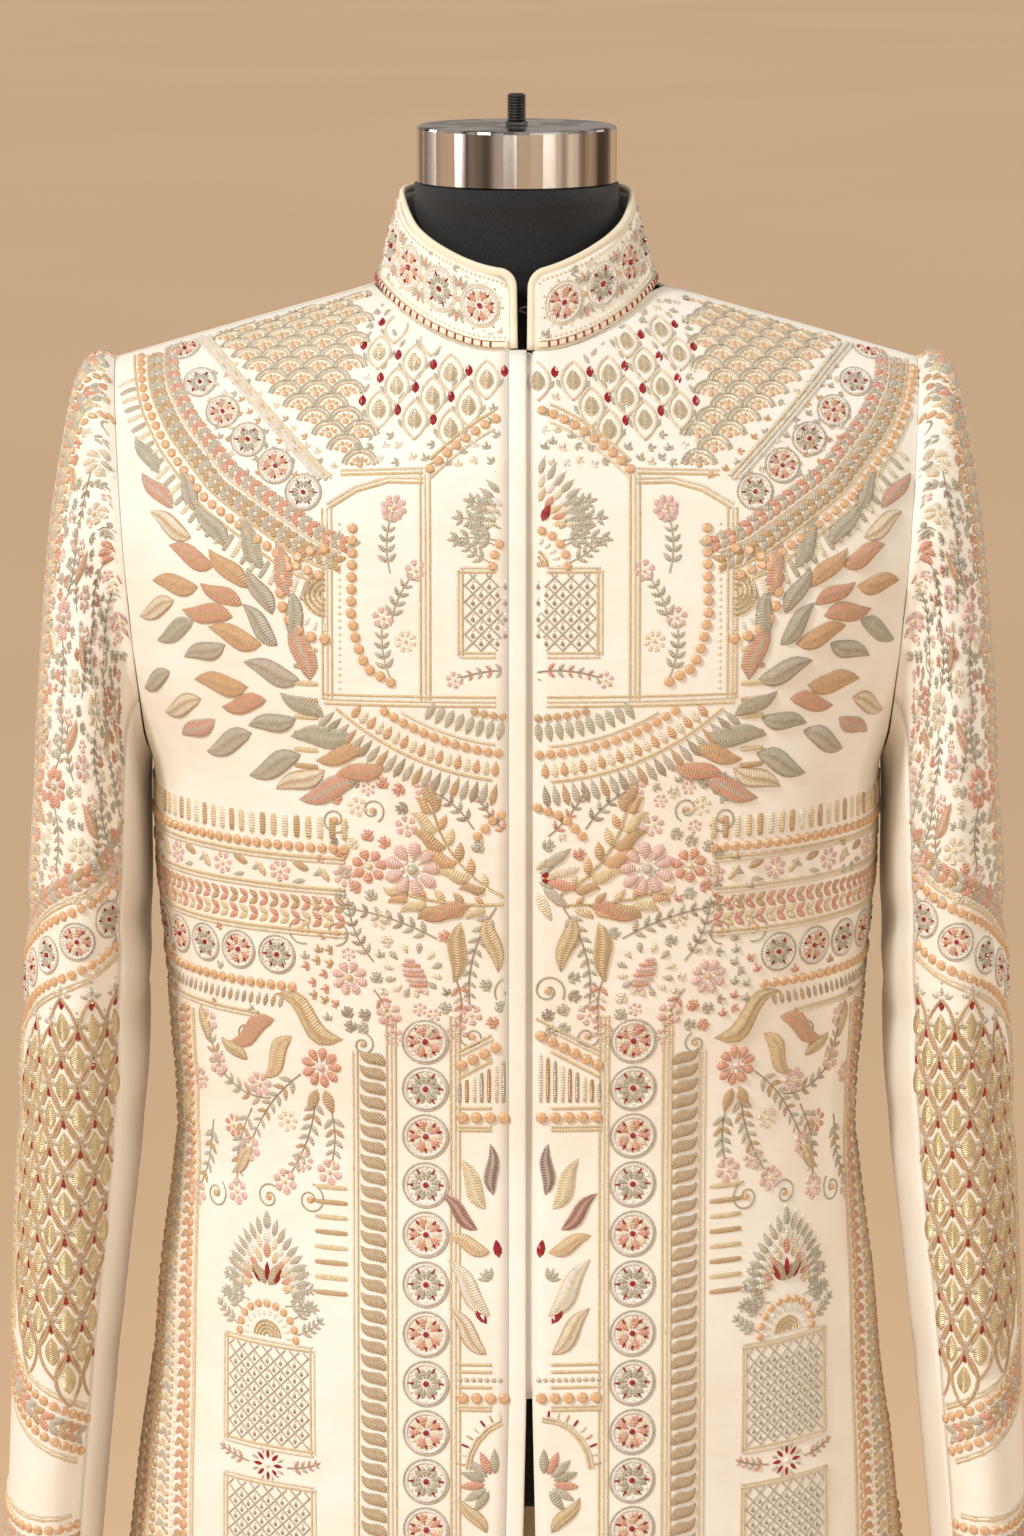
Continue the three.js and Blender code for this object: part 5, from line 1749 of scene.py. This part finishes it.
def side_field(w):
    """The hanging spray, the bars and the crest over its scaled boxes."""
    flower(w, *w.one(113, 1041), 12, "rose", 9, core="pink")
    for angle in (-1.2, -1.9):
        w.blade(*away(*w.one(113, 1034), angle, 6), angle, 15, 7, "tan", "leaf", 2.2)
    for u, z, angle, length, turn, pairs in (
        (124, 1036, -0.7, 52, -0.5, 8), (116, 1026, -1.5, 50, 0.55, 8), (140, 1020, -0.1, 34, 0.9, 5),
        (150, 1012, -1.1, 44, -0.5, 7), (164, 1030, 0.9, 24, 0.5, 4), (170, 1000, -1.4, 40, 0.3, 6),
        (108, 1018, -1.8, 30, 0.5, 5),
    ):
        spray(w, *w.one(u, z), angle, length, turn, pairs, 9, ("silver", "tan", "sage"), "pink", "grey")
    for u, z, size, tint in (
        (146, 1027, 8, "pink"), (131, 1008, 7, "cream"), (160, 1000, 7, "rose"), (123, 986, 6.5, "pink"),
        (176, 1022, 7.5, "pink"),
    ):
        flower(w, *w.one(u, z), size, tint, 7)
    for u, z, angle in ((152, 1040, 0.5), (172, 1046, 1.3), (180, 1014, -1.2), (150, 990, -0.9)):
        big_leaf(w, *w.one(u, z), angle, 22, 8, "gold", "tan")
    for u, z, angle, size, hand in (
        (118, 974, -1.4, 9, 1), (136, 968, -0.6, 8, -1), (166, 966, -1.0, 8.5, 1), (148, 1052, 0.4, 7, -1),
    ):
        curl(w, *w.one(u, z), angle, size, hand)
    for base in (885.0, 622.0):
        s, t = w.one(143, base)
        bars(w, w.line((108, base + 88), (108, base + 30)), 20, 3.4, 8.4, ("gold", "tan"))
        crest(w, s, t + 21, 23, 52)
        bead_fan(w, s, t + 2, 21)
        for side in SIDES:
            for row in range(3):
                fan_wing(w, (s + side * (19 - 2 * row), t + 5 + 9 * row), side, row, 15)
        lattice(w, s - 28, s + 28, t - 61, t - 2, 9.0)
        star(w, s, t - 71, 10.5)
        lattice(w, s - 28, s + 28, t - 140, t - 81, 9.0)
        for side in SIDES:
            spray(w, s + side * 12, t - 71, UP - side * 1.45, 17, side * 0.3, 4, 6, ("rose", "silver"))


def centre_column(w, top, near=0.0):
    """One panel of the middle column: sloping bands, bars and a plant of coloured leaves on bare silk."""
    edging(w, w.line((3, top + 4), (38, top - 15)), 2.3, CREAM_GOLD)
    coins(w, w.line((6, top - 5), (37, top - 22)), 3.3)
    edging(w, w.line((3, top - 9), (38, top - 29)), 2.0, ("gold",))
    for k in range(9):
        u = 6 + 4.0 * k
        high = top - 13 - 0.55 * (u - 3)
        (s, t), (_, t1) = w.to((u, top - 44), (u, high))
        stuff = ZARI if k % 3 else THREAD
        w.blade(s, t, UP, t1 - t, 2.6, ("cream", "tan", "silver")[k % 3], "bar", 1.3, stuff=stuff)
    edging(w, w.line((3, top - 46.5), (39, top - 46.5)), 2.0, ("gold",))
    coins(w, w.line((6.5, top - 52), (36.5, top - 52)), 3.4)
    edging(w, w.line((3, top - 58), (39, top - 58)), 2.2, GOLD_CREAM)
    plant = (
        (8.5, -96, 1.5, 30, 8, "mauve", "silver"), (12.5, -104, 1.1, 33, 10, "gold", "cream"),
        (17, -115, 0.78, 29, 8.5, "mauve", "rose"), (10, -127, 0.36, 26, 9, "gold", "peach"),
        (10, -162, 0.92, 40, 11, "ivory", "gold"), (12, -183, 0.88, 34, 10, "cream", "tan"),
    )
    for u, drop, angle, length, width, tint, edge in plant:
        big_leaf(w, *w.one(u + near, top + drop), angle, length, width, tint, edge, -0.06)
    for u, drop, angle, length in ((5.5, -130, 1.4, 11), (12, -166, 0.95, 13)):
        gem(w, *w.one(u + near, top + drop), angle, length, 5.4, 1.8)
    for k in range(4):
        w.blade(*w.one(10 + near, top - 142), 0.1 + 0.5 * k, 8, 3.2, "sage", "leaflet")
    for drop in (188, 192):
        edging(w, w.line((3, top - drop), (39, top - drop)), 2.0, ("gold",))
    beads(w, w.line((5, top - 196.5), (38, top - 196.5)), 1.5, 3.8, "silver")
    edging(w, w.line((3, top - 200.5), (39, top - 200.5)), 2.0, ("gold",))
    coins(w, w.line((6.5, top - 206.5), (36.5, top - 206.5)), 3.3)
    edging(w, w.line((3, top - 212), (39, top - 212)), 2.2, GOLD_CREAM)


def lower_arch(w, top, low, near=0.0):
    """A small arch with red bars round it and a leafy plant under it."""
    arch = w.to(*[(7 + 27 * math.sin(a), top - 32 + 30 * math.cos(a)) for a in np.linspace(0, 1.5, 16)])
    edging(w, arch, 2.0, GOLD_CREAM)
    bars(w, arch + np.array([3.6, 2.4]), 4.4, 1.6, 5.4, ("red", "cream", "peach"))
    s, t = w.one(8 + near, top - 38)
    for k in range(7):
        angle = UP - 0.42 * k
        w.blade(*away(s, t, angle, 5), angle, 15, 5.6, ("green", "rose", "silver")[k % 3], "leaf", 1.8)
    z = top - 66
    while z > low:
        big_leaf(w, *w.one(12 + near, z), 0.9, 26, 8, "gold", "tan")
        big_leaf(w, *w.one(12 + near, z - 6), -0.2, 24, 8, "mauve", "silver")
        z -= 30


def columns(w, low=HEM_TOP_Z):
    """The rosette column, its cords and the twisted bars beside it, down to the hem's border."""
    for k in range(int((1059 - low) / ROSETTE_PITCH)):
        rosette(w, *w.one(COLUMN_U, 1059 - ROSETTE_PITCH * k), 12.6, k)
    beads(w, w.line((COLUMN_U - 14, 1074), (COLUMN_U - 14, low)), 0.95, ROSETTE_PITCH / 6, "cream")
    for u in (40.5, 75):
        edging(w, w.line((u, 1074), (u, low)), 2.4, GOLD_CREAM_GOLD, 1.5)
    for k, (s, t) in enumerate(resampled(w.line((78, 1044), (78, low + 8)), 8.6)[0]):
        w.blade(s, t, 0.56, 17.5, 7.6, "tan", "rimmed", 2.4, 0.1, edge="silver")
    edging(w, w.line((94.5, 1052), (94.5, low)), 2.4, GOLD_CREAM, 1.5)


def side_column(w, low=HEM_TOP_Z):
    """Upright rows of beads, braid and flowers near the side seam."""
    top = w.level(1062)
    bottom = w.level(low)
    first = w.one(182, 900)[0]

    def row(s):
        return np.array([(s, top), (s, bottom)])

    for k, s in enumerate(np.arange(first, SIDE_S, 9.4)):
        kind = k % 5
        if kind == 0:
            edging(w, row(s - 2), 2.2, GOLD_CREAM, 1.5)
            coins(w, row(s + 4), 2.6)
        elif kind in (1, 3):
            braid(w, row(s), 9.5, 6.6, (("tan", "rose"), ("silver", "gold"))[kind == 3])
        elif kind == 2:
            beads(w, row(s - 2.4), 1.3, 3.8, "cream")
            beads(w, row(s + 2.4), 1.5, 4.4, "tan")
        else:
            coins(w, row(s), 2.9, "tan")


def hem_border(w, first, last=SIDE_S):
    """The border round the hem: discs, braid, rosettes and bars in level rows."""

    def row(z):
        t = w.level(z)
        return np.array([(first, t), (last, t)])

    for z in (399, 430, 466, 490):
        edging(w, row(z), 2.3, GOLD_CREAM)
    coins(w, row(406), 3.2)
    braid(w, row(419), 12, 7.4, ("gold", "rose", "silver"))
    for k, (s, t) in enumerate(resampled(row(448), 26.5)[0]):
        rosette(w, s, t, 12, k)
    bars(w, row(474), 11, 3.6, 5.6, ("tan", "silver", "gold"))
    coins(w, row(484), 2.6)


def front_drawing(chart, near=0.0):
    """One front. near moves the middle plants out from under the closing strip."""
    w = Drawing(chart, (-14, -840, 350, 330), PATTERN_X)
    neck_diaper(w)
    niche(w)
    frame_field(w)
    bowl(w)
    garden(w)
    shoulder(w)
    leaf_drift(w)
    side_rows(w)
    side_field(w)
    centre_column(w, 1068, near)
    lower_arch(w, 852, 720, near)
    centre_column(w, 710, near)
    columns(w)
    side_column(w)
    hem_border(w, -12)
    return w


def back_drawing(chart):
    """The back carries the same borders and columns about its middle seam, with a plainer yoke."""
    w = Drawing(chart, (-14, -840, 350, 345), 0.0)
    for row in range(15):
        for column in range(10):
            u = 12 + 24 * column + 12 * (row % 2)
            z = 1466 - 17.2 * row
            if z < float(ridge_z(u)) - 8 and z > 1216:
                diaper_cell(w, *w.one(u, z), 1.25, "leaf")
    row = w.line((0, 1204), (196, 1204))
    coins(w, row, 3.0)
    edging(w, row + np.array([0, 6.5]), 2.2, CREAM_GOLD)
    bars(w, row + np.array([0, -9.5]), 10, 3.2, 6.6, ("gold", "tan", "cream"))
    garden(w)
    side_rows(w)
    side_field(w)
    centre_column(w, 1068)
    lower_arch(w, 852, 720)
    centre_column(w, 710)
    columns(w)
    side_column(w)
    hem_border(w, 0)
    return w


# ---------------------------------------------------------------- the sleeves and the collar
DIAGONAL_T = 325.0
DIAGONAL_RISE = 0.5
CUFF_T = 136.0
CUFF_FALL = 0.5


def sleeve_drawing():
    w = Stitches((-200, -4, 200, 760))
    top = 720

    def slants(start, rise, reach):
        return [np.array([(0.0, start), (side * reach, start + rise * reach)]) for side in SIDES]

    for k, s in enumerate(np.arange(0, 52, 8.4)):
        for side in ((1, -1) if s else (1,)):
            path = np.array([(side * s, DIAGONAL_T + 54 + DIAGONAL_RISE * s), (side * s, top)])
            upright_row(w, path, k)
            if s < 30:
                ends = CUFF_T + 34 - CUFF_FALL * s, DIAGONAL_T - 16 + DIAGONAL_RISE * s
                upright_row(w, np.array([(side * s, t) for t in ends]), k)
    for side in SIDES:
        sleeve_vine(w, side, top)
        edging(w, np.array([(side * 31, CUFF_T + 14), (side * 31, DIAGONAL_T)]), 2.3, GOLD_CREAM)
        for k in range(8):
            a = 22 * (k + 0.5)
            rosette(w, side * a, DIAGONAL_T + 12.5 + DIAGONAL_RISE * a, 10.6, k)
    for shift, kind in ((46, "braid"), (37, "edge"), (30, "coins"), (-5, "coins"), (-12, "edge")):
        for path in slants(DIAGONAL_T + shift, DIAGONAL_RISE, 176):
            band(w, path, kind)
    for shift, kind in ((30, "edge"), (23, "coins"), (12, "braid"), (2, "coins"), (-5, "edge")):
        for path in slants(CUFF_T + shift, -CUFF_FALL, 150):
            band(w, path, kind)
    for row in range(18):
        for column in range(-9, 10):
            s = 18 * column + 9 * (row % 2)
            t = 66 + 17 * row
            a = abs(s)
            high, low = DIAGONAL_T - 14 + DIAGONAL_RISE * a, CUFF_T + 26 - CUFF_FALL * a
            if 40 < a < 166 and low + 17 <= t <= high - 17:
                oval_cell(w, s, t, 8.0, 16.2)
    for t, kind in ((52, "edge"), (45, "coins"), (34, "braid"), (24, "edge"), (16, "bars"), (6, "coins")):
        band(w, np.array([(-190.0, t), (190.0, t)]), kind)
    return w


def band(w, path, kind):
    if kind == "coins":
        coins(w, path, 2.9)
    elif kind == "edge":
        edging(w, path, 2.3, GOLD_CREAM)
    elif kind == "braid":
        braid(w, path, 12, 6.2, ("tan", "rose", "silver"), 0.6)
    else:
        bars(w, path, 9, 3.4, 5.4, ("tan", "silver"))


def upright_row(w, path, kind):
    """One of the dense upright rows down the sleeve's outer line."""
    if kind % 3 == 0:
        coins(w, path, 2.5, ("peach", "tan")[kind // 3 % 2])
    else:
        braid(w, path, 9.6, 5.2, ("silver", "rose") if kind % 3 == 1 else ("gold", "sage"), 0.5)


def sleeve_vine(w, side, top):
    """Flowers, sprays and curls that climb the sleeve beside its outer rows."""
    for k in range(7):
        t = 424 + 46 * k
        s = side * (106 + 26 * (-1) ** k)
        flower(w, s, t, 12.5, ("pink", "rose", "cream")[k % 3], 9, core="sage")
        flower(w, s - side * 30 * (-1) ** k, t + 14, 8.5, ("cream", "pink")[k % 2], 7)
        hand = side * (-1) ** k
        flower(w, side * (158 + 8 * (k % 2)), t + 4, 9, ("rose", "pink")[k % 2], 7)
        spray(w, side * 150, t - 16, UP - side * 0.2, 34, side * 0.5, 6, 7.5, ("sage", "silver"), "cream")
        spray(w, s, t + 10, UP + hand * 0.6, 38, -hand * 1.2, 7, 8, SILVER_SAGE)
        spray(w, s, t - 10, -UP - hand * 0.5, 34, hand * 0.9, 6, 8, ("silver", "grey"), "pink")
        spray(w, s - hand * 20, t + 6, UP - hand * 0.5, 30, hand * 0.7, 6, 7, ("sage", "tan"), "pink")
        big_leaf(w, s - hand * 14, t + 20, UP + hand * 0.5, 24, 8.5, "rose", "gold")
        big_leaf(w, s + hand * 10, t - 22, UP - hand * 0.9, 20, 7.5, "peach", "cream")
        curl(w, s + hand * 15, t + 22, UP - hand * 0.9, 7, hand)
    low, high = sorted((side * 56, side * 186))
    fill(w, low, high, 410, top, ("silver", "sage", "cream", "rose"), (7.2, 5.4), flowers="pink")


def collar_drawing():
    w = Stitches((0, -1, COLLAR_LENGTH, 60))
    pitch = 26.5
    count = int(round((COLLAR_LENGTH - 34) / pitch))
    for k in range(count + 1):
        s = 17 + (COLLAR_LENGTH - 34) * k / count
        high = float(collar_reach(np.array(s)))
        t = (5.4 + high) / 2
        rosette(w, s, t, 11.6, k, "cream")
        for j in range(14):
            w.dot(*away(s, t, j * TAU / 14, 13.1), 0.9, ("silver", "pearl")[j % 2])
        gap = s + (COLLAR_LENGTH - 34) / count / 2
        if k < count:
            for up in (1, -1):
                for side in SIDES:
                    heading = up * (UP - side * 0.5)
                    w.blade(gap + side * 0.8, t + up * 5, heading, 8.5, 3.2, SILVER_SAGE[up > 0], "leaflet")
                w.blade(gap, t + up * 6, up * UP, 7, 3, "rose", "leaflet")
            coin(w, gap, t, 1.7)
    fill(w, 5, COLLAR_LENGTH - 5, 8.5, 50, ("silver", "sage", "cream"), (5.6, 4.4))
    near = np.linspace(2.5, COLLAR_LENGTH - 2.5, 150)
    beads(w, np.stack([near, 0 * near + 7.4], 1), 0.9, 2.8, "cream")
    beads(w, np.stack([near, collar_height(near) - 2.2], 1), 0.9, 2.8, "gold")
    return w


def embroider(name, w, inside, place):
    """The stitches on the cloth of the same name."""
    piece = stitched(f"stitch_{name}", w, inside, place)
    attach(piece, "root")


def body_inside(chart, inner, shift=0.0, margin=1.6):
    def inside(s, t):
        s = s - shift
        points = chart.sample(chart.points, s, t)
        kept = chart.sample(chart.inside, s, t) > 0.995
        x, y, z = points[..., 0], points[..., 1], points[..., 2]
        kept &= (x > inner(z) + margin) & (np.abs(y) > 2.4) & (s > 0)
        return kept & ((z < ARMPIT_Z) | (x < armhole_x(z) - margin)) & (z > HEM_Z + 2)

    return inside


def chart_place(chart, sign=1, shift=0.0):
    def place(s, t):
        points = chart.sample(chart.points, s - shift, t)
        normals = chart.sample(chart.normals, s - shift, t)
        normals /= np.linalg.norm(normals, axis=-1, keepdims=True)
        return (points, normals) if sign > 0 else (mirrored(points), mirrored(normals))

    return place


RIGHT_NEAR = 11.0


def embroider_body():
    for side, draw in (("front", front_drawing), ("back", back_drawing)):
        chart = body_chart(side)
        w = draw(chart)
        shift = 2 * PATTERN_X if side == "front" else 0.0
        embroider(f"{side}_left", w, body_inside(chart, inner_edge(side, 1)), chart_place(chart))
        if side == "front":
            w = draw(chart, RIGHT_NEAR)
        right = body_inside(chart, inner_edge(side, -1), shift)
        embroider(f"{side}_right", w, right, chart_place(chart, -1, shift))


def embroider_sleeves():
    chart = sleeve_chart()
    w = sleeve_drawing()

    def inside(s, t):
        points = chart.sample(chart.points, s, t)
        x, z = points[..., 0], points[..., 2]
        kept = (chart.sample(chart.inside, s, t) > 0.995) & (t > 1.5)
        return kept & ((z < ARMPIT_Z) | (x > armhole_x(z) + 2.2))

    for sign, word in ((1, "left"), (-1, "right")):
        embroider(f"top_sleeve_{word}", w, inside, chart_place(chart, sign))


def embroider_collar():
    w = collar_drawing()

    def inside(s, t):
        return (s > 2) & (s < COLLAR_LENGTH - 2) & (t > 5.8) & (t < collar_height(s) - 0.9)

    embroider("collar", w, inside, collar_place)
    trim = Stitches((0, -1, COLLAR_LENGTH, 10))
    for s in np.arange(7, COLLAR_LENGTH - 5, 4.8):
        trim.blade(s, 1.5, UP, 3.4, 1.5, "red", "bar", 1.0)
    for t in (1.5, 4.9):
        trim.cord([(2.5, t), (COLLAR_LENGTH - 2.5, t)], 0.8, "gold")

    def proud(s, t):
        points, normals = collar_place(s, t)
        return points + normals * 1.35, normals

    embroider("collar_base_trim", trim, lambda s, t: (s > 2) & (s < COLLAR_LENGTH - 2), proud)


embroider_body()
embroider_sleeves()
embroider_collar()


# ---------------------------------------------------------------- camera, floor and light
CAMERA_PLACE = (-0.0025, -2.6, 1.727)
CAMERA_PITCH = math.radians(90 - 11.75)
LENS_MM, SENSOR_MM = 110.8, 36
FLOOR_REACH_M = 150


def make_camera():
    lens = bpy.data.cameras.new("camera")
    lens.lens = LENS_MM
    lens.sensor_width = SENSOR_MM
    camera = bpy.data.objects.new("camera", lens)
    camera.location = CAMERA_PLACE
    camera.rotation_euler = (CAMERA_PITCH, 0, 0)
    bpy.context.scene.collection.objects.link(camera)
    bpy.context.scene.camera = camera


def area_light(name, place, target, size, power, colour):
    data = bpy.data.lights.new(name, "AREA")
    data.shape = "RECTANGLE"
    data.size, data.size_y = size
    data.energy = power
    data.color = colour
    lamp = bpy.data.objects.new(name, data)
    lamp.location = place
    aim = mathutils.Vector(target) - mathutils.Vector(place)
    lamp.rotation_euler = aim.to_track_quat("-Z", "Y").to_euler()
    bpy.context.scene.collection.objects.link(lamp)


def make_floor():
    """A wide pale floor, faintly clouded."""
    mesh = bpy.data.meshes.new("floor")
    corners = [(x * FLOOR_REACH_M, y * FLOOR_REACH_M, 0) for x, y in ((-1, -1), (1, -1), (1, 1), (-1, 1))]
    mesh.from_pydata(corners, [], [(0, 1, 2, 3)])
    made, tree, shader = material("pale_floor", srgb(219, 186, 150), 0.9)
    cloud = texture(tree, "Noise", Scale=0.35, Detail=2.0)
    tone = ramp(tree, cloud, 0.3, 0.7, srgb(218, 184, 148), srgb(221, 188, 152))
    join(tree, tone, shader.inputs["Base Color"])
    mesh.materials.append(made)
    floor = bpy.data.objects.new("floor", mesh)
    bpy.context.scene.collection.objects.link(floor)


def sun(name, toward, power, spread, colour):
    data = bpy.data.lights.new(name, "SUN")
    data.energy = power
    data.angle = math.radians(spread)
    data.color = colour
    lamp = bpy.data.objects.new(name, data)
    lamp.rotation_euler = mathutils.Vector(toward).to_track_quat("-Z", "Y").to_euler()
    bpy.context.scene.collection.objects.link(lamp)


def make_light():
    world = bpy.data.worlds.new("studio")
    bpy.context.scene.world = world
    world.use_nodes = True
    world.node_tree.nodes["Background"].inputs["Color"].default_value = (0.92, 0.83, 0.73, 1)
    world.node_tree.nodes["Background"].inputs["Strength"].default_value = 0.36
    sun("key", (0.62, 0.62, -0.72), 2.2, 12, (1.0, 0.985, 0.96))
    sun("fill", (-0.75, 0.9, -0.35), 0.45, 60, (1.0, 0.97, 0.93))
    area_light("rim_left", (1.9, 1.0, 2.2), (0, 0, 1.2), (0.5, 1.6), 16, (1.0, 0.95, 0.88))
    area_light("rim_right", (-1.9, 1.1, 2.0), (0, 0, 1.2), (0.5, 1.6), 14, (1.0, 0.95, 0.88))
    for name, x, y, width, power in (
        ("strip_a", -0.95, -1.7, 0.10, 3.0), ("strip_b", -0.2, -2.2, 0.05, 1.2),
        ("strip_c", 1.05, -1.6, 0.07, 2.0), ("strip_d", 1.6, -0.9, 0.12, 2.6),
        ("strip_e", -1.7, -0.8, 0.08, 1.8),
    ):
        area_light(name, (x, y, 1.62), (0, 0, 1.53), (width, 0.5), power, (1.0, 0.98, 0.95))
    bpy.context.scene.view_settings.view_transform = "Standard"


make_camera()
make_floor()
make_light()
